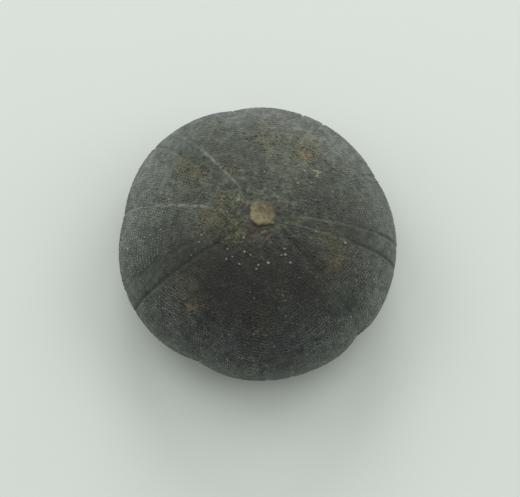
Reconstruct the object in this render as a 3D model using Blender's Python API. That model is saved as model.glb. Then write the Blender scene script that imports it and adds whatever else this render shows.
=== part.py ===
"""A fossil sea urchin: the stone-filled shell (test) of a domed urchin, as one closed solid.

Metres, +Z up. The apex points up and the mouth side rests on the ground. The origin is under the
middle of the body, on the ground. Run with: blender --background --python part.py
"""

import math
from dataclasses import dataclass

import bmesh
import bpy
from mathutils import Vector

MM = 0.001

# Body: an ellipsoid above its widest ring, the ambitus, and a flatter dish below it.
RADIUS = 21.0 * MM
DOME_HEIGHT = 12.5 * MM
AMBITUS_HEIGHT = 7.9 * MM
DISH_DEPTH = 8.1 * MM
DISH_EXPONENT = 2.6
OVAL_RATIO = 0.026
OVAL_AZIMUTH = 120.0
APEX_OFFSET = 0.8 * MM

# The plug of matrix that fills the opening at the apex.
PLUG_RADIUS = 1.95 * MM
PLUG_RISE = 0.32 * MM
PLUG_WALL = 0.2 * MM
PLUG_MOAT_DEPTH = 0.16 * MM
PLUG_MOAT_WIDTH = 0.7 * MM

# The mouth opening, filled with matrix to a shallow hollow.
MOUTH_RADIUS = 4.6 * MM
MOUTH_DEPTH = 0.7 * MM
MOUTH_SLOPE = 0.9 * MM

# Furrows of pores along both edges of each ambulacrum.
FURROW_WIDTH = 0.5 * MM
FURROW_START = 2.6 * MM
FURROW_FULL = 7.0 * MM
FURROW_UNDERSIDE_START = 5.0 * MM
FURROW_UNDERSIDE_FULL = 10.0 * MM
FURROW_UNDERSIDE_SHARE = 0.6
BAND_HALF_ANGLE = 4.7
BAND_HALF_ANGLE_GROWTH = 3.4
BAND_CROWN = 0.1 * MM
SUTURE_WIDTH = 0.45 * MM
SUTURE_DEPTH = 0.12 * MM
SWELL_ANGLE = 20.0

# Mesh.
COLUMNS = 120
PLUG_RINGS = (0.9 * MM, 1.6 * MM, 1.95 * MM, 2.15 * MM, 2.7 * MM)
DOME_RINGS = 19
DISH_RINGS = 11
MOUTH_RINGS = (6.0 * MM, 5.5 * MM, 5.0 * MM, 4.6 * MM, 3.6 * MM, 2.0 * MM)
SHARP_ANGLE = math.radians(75.0)

STONE_COLOUR = (0.085, 0.092, 0.08, 1.0)
STONE_ROUGHNESS = 0.78


@dataclass(frozen=True)
class Sector:
    """A fifth of the body, from one suture valley to the next, with its ambulacrum between."""

    valley_azimuth: float
    valley_depth: float
    valley_angle: float
    band_azimuth: float
    band_swell: float
    furrow_depth: float


SECTORS = (
    Sector(27.9, 0.40 * MM, 36.0, 65.5, 0.06 * MM, 0.22 * MM),
    Sector(100.8, 0.41 * MM, 18.0, 133.0, 0.17 * MM, 0.30 * MM),
    Sector(169.7, 0.67 * MM, 34.0, 206.5, 0.26 * MM, 0.40 * MM),
    Sector(244.8, 0.83 * MM, 22.5, 279.5, 0.02 * MM, 0.25 * MM),
    Sector(315.9, 0.67 * MM, 12.5, 351.5, 0.01 * MM, 0.36 * MM),
)


def clear_scene():
    """Remove every object of the scene."""
    for item in list(bpy.data.objects):
        bpy.data.objects.remove(item, do_unlink=True)


def smooth_step(low, high, value):
    """Ease from 0 at low to 1 at high."""
    share = min(max((value - low) / (high - low), 0.0), 1.0)
    return share * share * (3.0 - 2.0 * share)


def turn_between(azimuth, other):
    """Signed turn from other to azimuth, in degrees between -180 and 180."""
    return (azimuth - other + 180.0) % 360.0 - 180.0


def band_half_angle(radius):
    """Half of an ambulacrum's width in degrees: it is nearly constant and widens at the poles."""
    return BAND_HALF_ANGLE + BAND_HALF_ANGLE_GROWTH * (1.0 - min(radius / RADIUS, 1.0)) ** 2


def angle_of(width, radius, limit):
    """The angle in degrees that a width covers at a radius, up to a limit."""
    return min(math.degrees(width / max(radius, 0.1 * MM)), limit)


def column_azimuth(turn, radius):
    """Move an evenly spaced column to a sector's own features: suture, furrows and band."""
    spacing = 72.0
    sector_index = int(turn // spacing) % len(SECTORS)
    sector = SECTORS[sector_index]
    following = SECTORS[(sector_index + 1) % len(SECTORS)]
    half = band_half_angle(radius)
    shoulder = angle_of(FURROW_WIDTH, radius, 0.45 * half)
    suture = angle_of(SUTURE_WIDTH, radius, 6.0)
    to_band = turn_between(sector.band_azimuth, sector.valley_azimuth)
    to_next = turn_between(following.valley_azimuth, sector.valley_azimuth) % 360.0
    anchors = (
        (0.0, 0.0),
        (3.0, suture),
        (27.0, to_band - half - shoulder),
        (30.0, to_band - half),
        (33.0, to_band - half + shoulder),
        (36.0, to_band),
        (39.0, to_band + half - shoulder),
        (42.0, to_band + half),
        (45.0, to_band + half + shoulder),
        (69.0, to_next - suture),
        (72.0, to_next),
    )
    place = turn % spacing
    for (start, start_angle), (end, end_angle) in zip(anchors, anchors[1:]):
        if place <= end:
            share = (place - start) / (end - start)
            return sector.valley_azimuth + start_angle + share * (end_angle - start_angle)
    return sector.valley_azimuth + to_next


def outline_change(sector, azimuth, radius):
    """Height of a sector's slow forms over the plain body: its swollen band and its valley."""
    side = (radius / RADIUS) ** 1.2
    from_band = turn_between(azimuth, sector.band_azimuth)
    from_valley = abs(turn_between(azimuth, sector.valley_azimuth))
    swell = sector.band_swell * math.exp(-((from_band / SWELL_ANGLE) ** 2))
    valley = sector.valley_depth * max(1.0 - from_valley / sector.valley_angle, 0.0) ** 2
    return side * (swell - valley)


def groove_change(sector, azimuth, radius, underside):
    """Height of a sector's sharp forms: two pore furrows, the band's crown and the suture."""
    half = band_half_angle(radius)
    from_band = turn_between(azimuth, sector.band_azimuth)
    from_furrow = math.radians(abs(abs(from_band) - half)) * radius
    from_suture = math.radians(abs(turn_between(azimuth, sector.valley_azimuth))) * radius
    if underside:
        fade = smooth_step(FURROW_UNDERSIDE_START, FURROW_UNDERSIDE_FULL, radius)
        fade *= 1.0 - (1.0 - FURROW_UNDERSIDE_SHARE) * smooth_step(RADIUS, 0.8 * RADIUS, radius)
    else:
        fade = smooth_step(FURROW_START, FURROW_FULL, radius)
    furrow = sector.furrow_depth * max(1.0 - from_furrow / FURROW_WIDTH, 0.0)
    crown = BAND_CROWN * max(1.0 - (from_band / half) ** 2, 0.0)
    suture = SUTURE_DEPTH * max(1.0 - from_suture / SUTURE_WIDTH, 0.0)
    return fade * (crown - furrow - suture)


def pole_change(radius, underside):
    """Height of the forms at the poles: the raised plug in its moat, or the hollow mouth."""
    if underside:
        return -MOUTH_DEPTH * (1.0 - smooth_step(MOUTH_RADIUS, MOUTH_RADIUS + MOUTH_SLOPE, radius))
    plug = PLUG_RISE * (1.0 - smooth_step(PLUG_RADIUS, PLUG_RADIUS + PLUG_WALL, radius))
    from_moat = abs(radius - PLUG_RADIUS - PLUG_WALL) / PLUG_MOAT_WIDTH
    moat = PLUG_MOAT_DEPTH * max(1.0 - from_moat, 0.0) if radius > PLUG_RADIUS else 0.0
    return plug - moat


def outward(radius, height):
    """The plain body's outward direction at a point: its share along the radius and along Z."""
    if height >= AMBITUS_HEIGHT:
        across = radius / RADIUS**2
        along = (height - AMBITUS_HEIGHT) / DOME_HEIGHT**2
    else:
        power = DISH_EXPONENT - 1.0
        across = (radius / RADIUS) ** power / RADIUS
        along = -(((AMBITUS_HEIGHT - height) / DISH_DEPTH) ** power) / DISH_DEPTH
    length = math.hypot(across, along)
    return across / length, along / length


def carve(point):
    """Move a point of the plain spun body to the surface of the fossil."""
    radius = math.hypot(point.x, point.y)
    turn = math.degrees(math.atan2(point.y, point.x)) % 360.0
    underside = point.z < AMBITUS_HEIGHT
    azimuth = column_azimuth(round(turn, 4) % 360.0, radius)
    height = pole_change(radius, underside)
    for sector in SECTORS:
        height += outline_change(sector, azimuth, radius)
        height += groove_change(sector, azimuth, radius, underside)
    across, along = outward(radius, point.z)
    oval = 1.0 + 0.5 * OVAL_RATIO * math.cos(math.radians(2.0 * (azimuth - OVAL_AZIMUTH)))
    reach = radius * oval + height * across
    lean = APEX_OFFSET * max((point.z - AMBITUS_HEIGHT) / DOME_HEIGHT, 0.0)
    x = reach * math.cos(math.radians(azimuth)) + lean
    y = reach * math.sin(math.radians(azimuth))
    return Vector((x, y, max(point.z + height * along, 0.0)))


def dome_point(radius):
    """A profile point of the dome, above the ambitus."""
    rise = DOME_HEIGHT * math.sqrt(max(1.0 - (radius / RADIUS) ** 2, 0.0))
    return Vector((radius, 0.0, AMBITUS_HEIGHT + rise))


def dish_point(radius):
    """A profile point of the dish, below the ambitus."""
    share = max(1.0 - (radius / RADIUS) ** DISH_EXPONENT, 0.0)
    return Vector((radius, 0.0, AMBITUS_HEIGHT - DISH_DEPTH * share ** (1.0 / DISH_EXPONENT)))


def profile():
    """Points of the half profile, from the apex over the ambitus to the middle of the mouth."""
    points = [dome_point(0.0)]
    points += [dome_point(radius) for radius in PLUG_RINGS]
    first = math.asin(PLUG_RINGS[-1] / RADIUS)
    for ring in range(1, DOME_RINGS + 1):
        angle = first + (0.5 * math.pi - first) * ring / DOME_RINGS
        points.append(dome_point(RADIUS * math.sin(angle)))
    last = math.asin((MOUTH_RINGS[0] / RADIUS) ** (0.5 * DISH_EXPONENT))
    for ring in range(1, DISH_RINGS + 1):
        angle = 0.5 * math.pi + (last - 0.5 * math.pi) * ring / (DISH_RINGS + 1)
        points.append(dish_point(RADIUS * math.sin(angle) ** (2.0 / DISH_EXPONENT)))
    points += [dish_point(radius) for radius in MOUTH_RINGS]
    points.append(dish_point(0.0))
    return points


def spin_body():
    """Spin the profile into a closed body with one pole at each end."""
    body = bmesh.new()
    verts = [body.verts.new(point) for point in profile()]
    edges = [body.edges.new(pair) for pair in zip(verts, verts[1:])]
    bmesh.ops.spin(
        body,
        geom=verts + edges,
        cent=(0.0, 0.0, 0.0),
        axis=(0.0, 0.0, 1.0),
        angle=2.0 * math.pi,
        steps=COLUMNS,
        use_merge=True,
    )
    bmesh.ops.remove_doubles(body, verts=body.verts, dist=0.001 * MM)
    bmesh.ops.recalc_face_normals(body, faces=body.faces)
    return body


def centre_on_origin(body):
    """Put the middle of the body's bounding box over the origin."""
    xs = [vert.co.x for vert in body.verts]
    ys = [vert.co.y for vert in body.verts]
    middle = Vector((0.5 * (min(xs) + max(xs)), 0.5 * (min(ys) + max(ys)), 0.0))
    bmesh.ops.translate(body, verts=body.verts, vec=-middle)


def stone_material():
    """The dark grey stone that the test and its filling have turned to."""
    material = bpy.data.materials.new("fossil_stone")
    material.use_nodes = True
    shader = material.node_tree.nodes["Principled BSDF"]
    shader.inputs["Base Color"].default_value = STONE_COLOUR
    shader.inputs["Roughness"].default_value = STONE_ROUGHNESS
    shader.inputs["Metallic"].default_value = 0.0
    material.diffuse_color = STONE_COLOUR
    return material


def build_test():
    """Build the test and link it to the scene."""
    body = spin_body()
    for vert in body.verts:
        vert.co = carve(vert.co)
    centre_on_origin(body)
    bmesh.ops.triangulate(body, faces=body.faces)
    mesh = bpy.data.meshes.new("sea_urchin_test")
    body.to_mesh(mesh)
    body.free()
    mesh.materials.append(stone_material())
    mesh.shade_smooth()
    mesh.set_sharp_from_angle(angle=SHARP_ANGLE)
    test = bpy.data.objects.new("sea_urchin_test", mesh)
    bpy.context.scene.collection.objects.link(test)
    return test


def main():
    """Build the part."""
    clear_scene()
    build_test()


main()
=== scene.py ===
"""Looks of the fossil sea urchin: its stone test, tubercles, pale grains, mud crumbs and the studio.

Everything is in metres, +Z up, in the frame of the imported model. Azimuths are in degrees, turning
from +X towards +Y. A place on the test is an azimuth and an arc: the distance from the apex, walked
down the plain profile.
"""

import logging
import math
from dataclasses import dataclass, field, replace
from enum import Enum

import bmesh
import bpy
import numpy as np
from mathutils import Matrix, Vector, noise


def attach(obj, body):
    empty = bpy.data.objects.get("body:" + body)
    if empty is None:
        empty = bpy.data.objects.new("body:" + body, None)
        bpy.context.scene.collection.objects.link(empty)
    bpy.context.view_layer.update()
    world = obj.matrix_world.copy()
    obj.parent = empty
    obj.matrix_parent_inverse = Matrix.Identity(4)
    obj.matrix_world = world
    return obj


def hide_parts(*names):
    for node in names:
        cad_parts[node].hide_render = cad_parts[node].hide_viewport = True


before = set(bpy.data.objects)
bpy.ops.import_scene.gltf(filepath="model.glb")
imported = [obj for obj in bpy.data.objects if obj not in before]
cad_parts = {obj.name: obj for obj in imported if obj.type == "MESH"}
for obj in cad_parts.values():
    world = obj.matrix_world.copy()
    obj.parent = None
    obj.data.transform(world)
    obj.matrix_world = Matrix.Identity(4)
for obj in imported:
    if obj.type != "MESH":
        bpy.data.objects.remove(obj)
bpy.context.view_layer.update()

MM = 0.001
BODY = "root"
CAD_NODE = "sea_urchin_test"
BAKE_MAP = "OFBake"
COLOUR_SOCKET = "NodeSocketColor"
FLOAT_SOCKET = "NodeSocketFloat"
VECTOR_SOCKET = "NodeSocketVector"
TINY = 1e-12
LOG = logging.getLogger("sea_urchin")

Array = np.ndarray
Colour = tuple[float, float, float]


def smooth_step(low: float, high: float, value: Array) -> Array:
    """Ease from 0 to 1.

    Args:
        low: Where the result is 0.
        high: Where the result is 1.
        value: The values to ease.

    Returns:
        The eased values.
    """
    share = np.clip((value - low) / (high - low), 0.0, 1.0)
    return share * share * (3.0 - 2.0 * share)


def turn_between(azimuth: Array, other: Array) -> Array:
    """Signed turn between two azimuths.

    Args:
        azimuth: Where the turn ends, in degrees.
        other: Where the turn starts, in degrees.

    Returns:
        The turn, between -180 and 180 degrees.
    """
    return (azimuth - other + 180.0) % 360.0 - 180.0


def bell(distance: Array, width: float) -> Array:
    """A bell curve of height 1.

    Args:
        distance: Distances from the middle.
        width: Where the curve has fallen to 37%.

    Returns:
        The curve's heights.
    """
    return np.exp(-((distance / width) ** 2))


def fractal(points: Array, grain: float, octaves: int, seed: float) -> Array:
    """Fractal noise at points.

    Args:
        points: Positions in metres, one row each.
        grain: Size of the largest lumps in metres.
        octaves: How many halvings of the grain are added.
        seed: Shift that makes one field differ from the next.

    Returns:
        Values around 0, mostly between -1 and 1.
    """
    shifted = points / grain + seed
    return np.array([noise.fractal(Vector(row), 1.0, 2.0, octaves) for row in shifted])


@dataclass(frozen=True)
class Groove:
    """A line cut from the apex to the mouth, with painted shade and a painted highlight along it.

    Depths and the width are in metres: the first depth on top of the dome, the second at its side.
    The highlight is how pale the line is painted, standing for its lit wall, and shade how dark it is
    painted, as painted shade in the groove; both run from start to end, which are plain radii.
    """

    top_depth: float
    side_depth: float
    width: float = 0.20 * MM
    fill: float = 0.0
    shade: float = 0.0
    start: float = 3.0 * MM
    end: float = 20.0 * MM


@dataclass(frozen=True)
class Sector:
    """A fifth of the test, from one suture valley to the next, with its ambulacrum between.

    Depths and swells are in metres, azimuths and angles in degrees. The furrows are the two rows of
    pores that edge the ambulacrum, the one at the lower azimuth first. Coarseness is how large the
    tubercles around the suture are, and the tint how far the ambulacrum stands out in colour.
    """

    name: str
    valley_azimuth: float
    valley_depth: float
    valley_angle: float
    band_azimuth: float
    band_swell: float
    furrows: tuple[Groove, Groove]
    suture: Groove
    coarseness: float = 1.0
    band_tint: float = 1.0


SECTORS = (
    Sector(
        "back_right", 27.9, 0.40 * MM, 36.0, 65.5, 0.06 * MM,
        (Groove(0.01 * MM, 0.13 * MM, 0.18 * MM), Groove(0.01 * MM, 0.11 * MM, 0.18 * MM)),
        Groove(0.03 * MM, 0.14 * MM, 0.26 * MM, shade=0.34, start=5.5 * MM),
        coarseness=1.1,
    ),
    Sector(
        "back", 100.8, 0.41 * MM, 18.0, 133.0, 0.17 * MM,
        (
            Groove(0.04 * MM, 0.05 * MM, 0.18 * MM, fill=1.0, start=5.0 * MM, end=16.2 * MM),
            Groove(0.05 * MM, 0.16 * MM, 0.36 * MM, shade=0.35, start=6.0 * MM),
        ),
        Groove(0.02 * MM, 0.08 * MM, fill=0.1),
        coarseness=1.02,
    ),
    Sector(
        "left", 168.9, 0.69 * MM, 34.0, 206.5, 0.26 * MM,
        (
            Groove(0.04 * MM, 0.10 * MM, 0.50 * MM, shade=0.12, start=4.0 * MM, end=19.0 * MM),
            Groove(0.08 * MM, 0.24 * MM, 0.28 * MM, shade=0.5),
        ),
        Groove(0.01 * MM, 0.10 * MM, 0.26 * MM, fill=1.4, start=7.5 * MM, end=25.0 * MM),
        coarseness=1.14,
    ),
    Sector(
        "front_left", 244.8, 0.83 * MM, 22.5, 279.5, 0.02 * MM,
        (
            Groove(0.01 * MM, 0.03 * MM, 0.44 * MM, fill=0.12, start=9.0 * MM, end=21.0 * MM),
            Groove(0.01 * MM, 0.03 * MM, 0.44 * MM, fill=0.12, start=9.0 * MM, end=21.0 * MM),
        ),
        Groove(0.01 * MM, 0.05 * MM, 0.24 * MM),
        coarseness=0.97,
        band_tint=0.3,
    ),
    Sector(
        "front_right", 315.9, 0.67 * MM, 12.5, 351.5, 0.01 * MM,
        (
            Groove(0.06 * MM, 0.24 * MM, 0.26 * MM, fill=0.35, shade=0.4, start=5.0 * MM, end=15.0 * MM),
            Groove(0.05 * MM, 0.20 * MM, 0.24 * MM, fill=0.4, shade=0.3, start=4.0 * MM, end=15.0 * MM),
        ),
        Groove(0.02 * MM, 0.08 * MM, 0.28 * MM, shade=0.24, start=12.0 * MM),
    ),
)


@dataclass
class TestForm:
    """The shape of the test: a plain turned body, and the relief that is raised and cut on it.

    Each of the plug's waves is a share of its radius, a count around it and a shift in radians.
    """

    radius: float = 20.985 * MM
    dome_height: float = 12.5 * MM
    ambitus_height: float = 7.9 * MM
    dish_depth: float = 8.1 * MM
    dish_exponent: float = 2.6
    oval_ratio: float = 0.026
    oval_azimuth: float = 120.0
    apex_offset: float = 0.8 * MM
    plug_radius: float = 1.70 * MM
    plug_shift: tuple[float, float] = (0.01 * MM, 0.09 * MM)
    plug_rise: float = 0.20 * MM
    plug_wall: float = 0.42 * MM
    plug_waves: tuple[tuple[float, float, float], ...] = (
        (0.05, 4.0, -3.5), (0.04, 3.0, 1.1), (0.02, 7.0, 0.0), (0.02, 11.0, 2.0),
    )
    plug_dent: float = 0.10
    plug_dent_azimuth: float = 232.0
    plug_dent_angle: float = 26.0
    moat_depth: float = 0.05 * MM
    moat_width: float = 0.7 * MM
    moat_deepening: float = 2.0
    moat_deep_azimuth: float = 252.0
    moat_deep_angle: float = 28.0
    mouth_radius: float = 4.6 * MM
    mouth_depth: float = 0.7 * MM
    mouth_slope: float = 0.9 * MM
    lip_share: float = 0.3
    lip_distance: float = 0.42 * MM
    lip_width: float = 0.16 * MM
    band_half_angle: float = 4.7
    band_half_angle_growth: float = 3.4
    band_crown: float = 0.03 * MM
    band_edge: float = 0.3 * MM
    furrow_start: tuple[float, float] = (2.6 * MM, 7.0 * MM)
    furrow_end: tuple[float, float] = (5.0 * MM, 10.0 * MM)
    furrow_softening: float = 0.4
    side_shares: tuple[float, float] = (0.66, 0.98)
    side_exponent: float = 1.2
    swell_angle: float = 20.0
    valley_round: float = 1.6
    tubercle_height: float = 0.1 * MM
    table_size: int = 4001
    arcs: Array = field(init=False)
    radii: Array = field(init=False)
    heights: Array = field(init=False)
    ambitus_arc: float = field(init=False)
    middle: Array = field(init=False)

    def __post_init__(self) -> None:
        """Walk the plain profile once, and find the middle of the whole body."""
        angle = np.linspace(0.0, math.pi, self.table_size)
        sine, cosine = np.sin(angle), np.cos(angle)
        power = 2.0 / self.dish_exponent
        above = cosine >= 0.0
        radii = np.where(above, sine, sine**power) * self.radius
        fall = self.dish_depth * np.abs(cosine) ** power
        rise = self.dome_height * cosine
        self.radii = radii
        self.heights = self.ambitus_height + np.where(above, rise, -fall)
        steps = np.hypot(np.diff(self.radii), np.diff(self.heights))
        self.arcs = np.concatenate(([0.0], np.cumsum(steps)))
        self.ambitus_arc = float(self.arcs[self.table_size // 2])
        self.middle = np.zeros(3)
        self.middle = self.find_middle()

    def find_middle(self) -> Array:
        """Find the middle of the body's outline seen from above.

        Returns:
            The middle, with 0 for its height.
        """
        reach = 3.0 * MM
        turns = np.arange(0.0, 360.0, 0.5)
        arcs = self.ambitus_arc + np.linspace(-reach, reach, 25)
        places = self.place(np.repeat(turns, len(arcs)), np.tile(arcs, len(turns)))
        middle = 0.5 * (places.min(axis=0) + places.max(axis=0))
        middle[2] = 0.0
        return middle

    def radius_at(self, arc: Array) -> Array:
        """The plain profile's radius at an arc."""
        return np.interp(arc, self.arcs, self.radii)

    def height_at(self, arc: Array) -> Array:
        """The plain profile's height at an arc."""
        return np.interp(arc, self.arcs, self.heights)

    def dome_arc(self, radius: Array) -> Array:
        """The arc of a place on the dome that has a given plain radius."""
        half = self.table_size // 2 + 1
        return np.interp(radius, self.radii[:half], self.arcs[:half])

    def outward(self, arc: Array) -> tuple[Array, Array]:
        """The plain profile's outward direction.

        Args:
            arc: Where on the profile.

        Returns:
            The direction's share across, along the radius, and its share along Z.
        """
        step = 0.02 * MM
        low = np.clip(arc - step, 0.0, self.arcs[-1])
        high = np.clip(arc + step, 0.0, self.arcs[-1])
        across = self.height_at(low) - self.height_at(high)
        along = self.radius_at(high) - self.radius_at(low)
        length = np.maximum(np.hypot(across, along), TINY)
        return across / length, along / length

    def half_angle(self, radius: Array) -> Array:
        """Half of an ambulacrum's width in degrees, which grows towards the poles."""
        inner = 1.0 - np.minimum(radius / self.radius, 1.0)
        return self.band_half_angle + self.band_half_angle_growth * inner**2

    def from_furrow(self, sector: Sector, side: int, azimuth: Array, radius: Array) -> Array:
        """Distance from one of a sector's furrows.

        Args:
            sector: The sector.
            side: 0 for the furrow at the lower azimuth, 1 for the other.
            azimuth: Azimuths in degrees.
            radius: Plain radii in metres.

        Returns:
            Distances in metres, above 0 outside the ambulacrum and below 0 in it.
        """
        sign = 2 * side - 1
        turn = sign * turn_between(azimuth, sector.band_azimuth) - self.half_angle(radius)
        return np.radians(turn) * radius

    def from_suture(self, sector: Sector, azimuth: Array, radius: Array) -> Array:
        """Distance to a sector's suture, in metres."""
        return np.radians(turn_between(azimuth, sector.valley_azimuth)) * radius

    def band_share(self, azimuth: Array, radius: Array, tinted: bool = False) -> Array:
        """Where the ambulacra are.

        Args:
            azimuth: Azimuths in degrees.
            radius: Plain radii in metres.
            tinted: Whether each ambulacrum counts by its tint.

        Returns:
            1, or the tint, on the ambulacra, falling to 0 at their furrows.
        """
        share = np.zeros_like(radius)
        for sector in SECTORS:
            low = self.from_furrow(sector, 0, azimuth, radius)
            high = self.from_furrow(sector, 1, azimuth, radius)
            inside = smooth_step(0.0, self.band_edge, -np.maximum(low, high))
            share = np.maximum(share, inside * (sector.band_tint if tinted else 1.0))
        return share

    def furrow_fade(self, arc: Array) -> Array:
        """How fully the furrows are cut: they start outside the plug and soften underneath.

        Args:
            arc: Arcs in metres.

        Returns:
            Shares between 0 and 1.
        """
        radius = self.radius_at(arc)
        dome = smooth_step(*self.furrow_start, radius)
        softer = 1.0 - self.furrow_softening * smooth_step(self.radius, 0.8 * self.radius, radius)
        dish = smooth_step(*self.furrow_end, radius) * softer
        return np.where(arc <= self.ambitus_arc, dome, dish)

    def slow_relief(self, azimuth: Array, arc: Array) -> Array:
        """Height of the swollen ambulacra and of the suture valleys.

        Args:
            azimuth: Azimuths in degrees.
            arc: Arcs in metres.

        Returns:
            Heights over the plain body in metres.
        """
        side = (self.radius_at(arc) / self.radius) ** self.side_exponent
        height = np.zeros_like(arc)
        for sector in SECTORS:
            from_band = turn_between(azimuth, sector.band_azimuth)
            from_valley = np.hypot(turn_between(azimuth, sector.valley_azimuth), self.valley_round)
            open_share = np.clip(1.0 - from_valley / sector.valley_angle, 0.0, 1.0)
            height += sector.band_swell * bell(from_band, self.swell_angle)
            height -= sector.valley_depth * open_share**2
        return side * height

    def groove_depth(self, groove: Groove, arc: Array) -> Array:
        """A groove's depth: slight on top of the dome, full at its side.

        Args:
            groove: The groove.
            arc: Arcs in metres.

        Returns:
            Depths in metres.
        """
        low, high = (share * self.radius for share in self.side_shares)
        side = smooth_step(low, high, self.radius_at(arc))
        return groove.top_depth + (groove.side_depth - groove.top_depth) * side

    def grooves(self, azimuth: Array, radius: Array) -> list[tuple[Groove, Array]]:
        """Every groove with its distances.

        Args:
            azimuth: Azimuths in degrees.
            radius: Plain radii in metres.

        Returns:
            Each groove and the distances from it in metres, above 0 on its lip's side.
        """
        found = []
        for sector in SECTORS:
            for side, furrow in enumerate(sector.furrows):
                found.append((furrow, self.from_furrow(sector, side, azimuth, radius)))
            found.append((sector.suture, self.from_suture(sector, azimuth, radius)))
        return found

    def groove_relief(self, azimuth: Array, arc: Array) -> Array:
        """Height of the furrows with their lips, the crowned bands and the suture creases.

        Args:
            azimuth: Azimuths in degrees.
            arc: Arcs in metres.

        Returns:
            Heights over the plain body in metres.
        """
        radius = self.radius_at(arc)
        height = self.band_crown * self.band_share(azimuth, radius)
        for groove, distance in self.grooves(azimuth, radius):
            depth = self.groove_depth(groove, arc)
            lip = self.lip_share * bell(distance - self.lip_distance, self.lip_width)
            height += depth * (lip - bell(distance, groove.width))
        return height * self.furrow_fade(arc)

    def beyond_plug(self, azimuth: Array, radius: Array) -> Array:
        """Distance outward from the plug's uneven outline.

        Args:
            azimuth: Azimuths in degrees.
            radius: Plain radii in metres.

        Returns:
            Distances in metres, below 0 on the plug.
        """
        across = radius * np.cos(np.radians(azimuth)) - self.plug_shift[0]
        up = radius * np.sin(np.radians(azimuth)) - self.plug_shift[1]
        turn = np.arctan2(up, across)
        uneven = sum(share * np.cos(count * turn + shift) for share, count, shift in self.plug_waves)
        from_dent = turn_between(np.degrees(turn), self.plug_dent_azimuth)
        uneven = uneven - self.plug_dent * bell(from_dent, self.plug_dent_angle)
        return np.hypot(across, up) - self.plug_radius * (1.0 + uneven)

    def plug_share(self, azimuth: Array, arc: Array) -> Array:
        """1 on the plug, falling to 0 down its wall."""
        top = 1.0 - smooth_step(0.0, self.plug_wall, self.beyond_plug(azimuth, self.radius_at(arc)))
        return np.where(arc < self.ambitus_arc, top, 0.0)

    def mouth_share(self, arc: Array) -> Array:
        """Where the filled mouth is.

        Args:
            arc: Arcs in metres.

        Returns:
            1 on the filled mouth, falling to 0 over its slope.
        """
        radius = self.radius_at(arc)
        inside = 1.0 - smooth_step(self.mouth_radius, self.mouth_radius + self.mouth_slope, radius)
        return np.where(arc > self.ambitus_arc, inside, 0.0)

    def pole_relief(self, azimuth: Array, arc: Array) -> Array:
        """Height of the raised plug in its moat and of the hollow mouth.

        Args:
            azimuth: Azimuths in degrees.
            arc: Arcs in metres.

        Returns:
            Heights over the plain body in metres.
        """
        beyond = self.beyond_plug(azimuth, self.radius_at(arc)) - self.plug_wall
        moat = np.clip(1.0 - np.abs(beyond) / self.moat_width, 0.0, 1.0) * (beyond > -self.plug_wall)
        from_deep = turn_between(azimuth, self.moat_deep_azimuth)
        deeper = 1.0 + self.moat_deepening * bell(from_deep, self.moat_deep_angle)
        moat = np.where(arc < self.ambitus_arc, moat * deeper, 0.0)
        plug = self.plug_rise * self.plug_share(azimuth, arc)
        return plug - self.moat_depth * moat - self.mouth_depth * self.mouth_share(arc)

    def place(self, azimuth: Array, arc: Array, lift: Array | float = 0.0) -> Array:
        """Places on the test.

        Args:
            azimuth: Azimuths in degrees.
            arc: Arcs in metres.
            lift: Height over the test's surface in metres.

        Returns:
            Positions, one row each.
        """
        height = self.slow_relief(azimuth, arc) + self.groove_relief(azimuth, arc)
        height = height + self.pole_relief(azimuth, arc) + lift
        across, along = self.outward(arc)
        turn = np.radians(azimuth)
        oval = 1.0 + 0.5 * self.oval_ratio * np.cos(2.0 * (turn - math.radians(self.oval_azimuth)))
        reach = self.radius_at(arc) * oval + height * across
        plain = self.height_at(arc)
        lean = self.apex_offset * np.clip((plain - self.ambitus_height) / self.dome_height, 0.0, 1.0)
        rise = np.maximum(plain + height * along, 0.0)
        places = np.stack((reach * np.cos(turn) + lean, reach * np.sin(turn), rise), axis=-1)
        return places - self.middle

    def facing(self, azimuth: Array, arc: Array) -> tuple[Array, Array, Array]:
        """Directions at places on the test.

        Args:
            azimuth: Azimuths in degrees.
            arc: Arcs in metres.

        Returns:
            Unit vectors: around the test, down the test, and out of it.
        """
        step, least_radius = 0.05 * MM, 0.5 * MM
        turn = np.degrees(step / np.maximum(self.radius_at(arc), least_radius))
        around = self.place(azimuth + turn, arc) - self.place(azimuth - turn, arc)
        down = self.place(azimuth, arc + step) - self.place(azimuth, arc - step)
        out = np.cross(down, around)
        out /= np.linalg.norm(out, axis=1, keepdims=True)
        around /= np.linalg.norm(around, axis=1, keepdims=True)
        return around, np.cross(out, around), out


class Stain(Enum):
    """Colours laid on the stone: the stains that the ground has left, and one painted shade that also holds
    small dark patches. Each value names its mesh attribute.
    """

    DUST = "dust"
    SOOT = "soot"
    # Painted shade: darkens the foot of the front side, where the light falls least, and also holds small
    # dark patches.
    GRIME = "grime"
    UMBER = "umber"
    ROSE = "rose"
    OLIVE = "olive"
    SAND = "sand"
    RUST = "rust"
    BRICK = "brick"
    SLATE = "slate"
    TEAL = "teal"
    CHALK = "chalk"


@dataclass(frozen=True)
class Spot:
    """A stained place: its azimuth in degrees, plain radius, size and strength."""

    stain: Stain
    azimuth: float
    radius: float
    size: float
    strength: float


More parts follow.
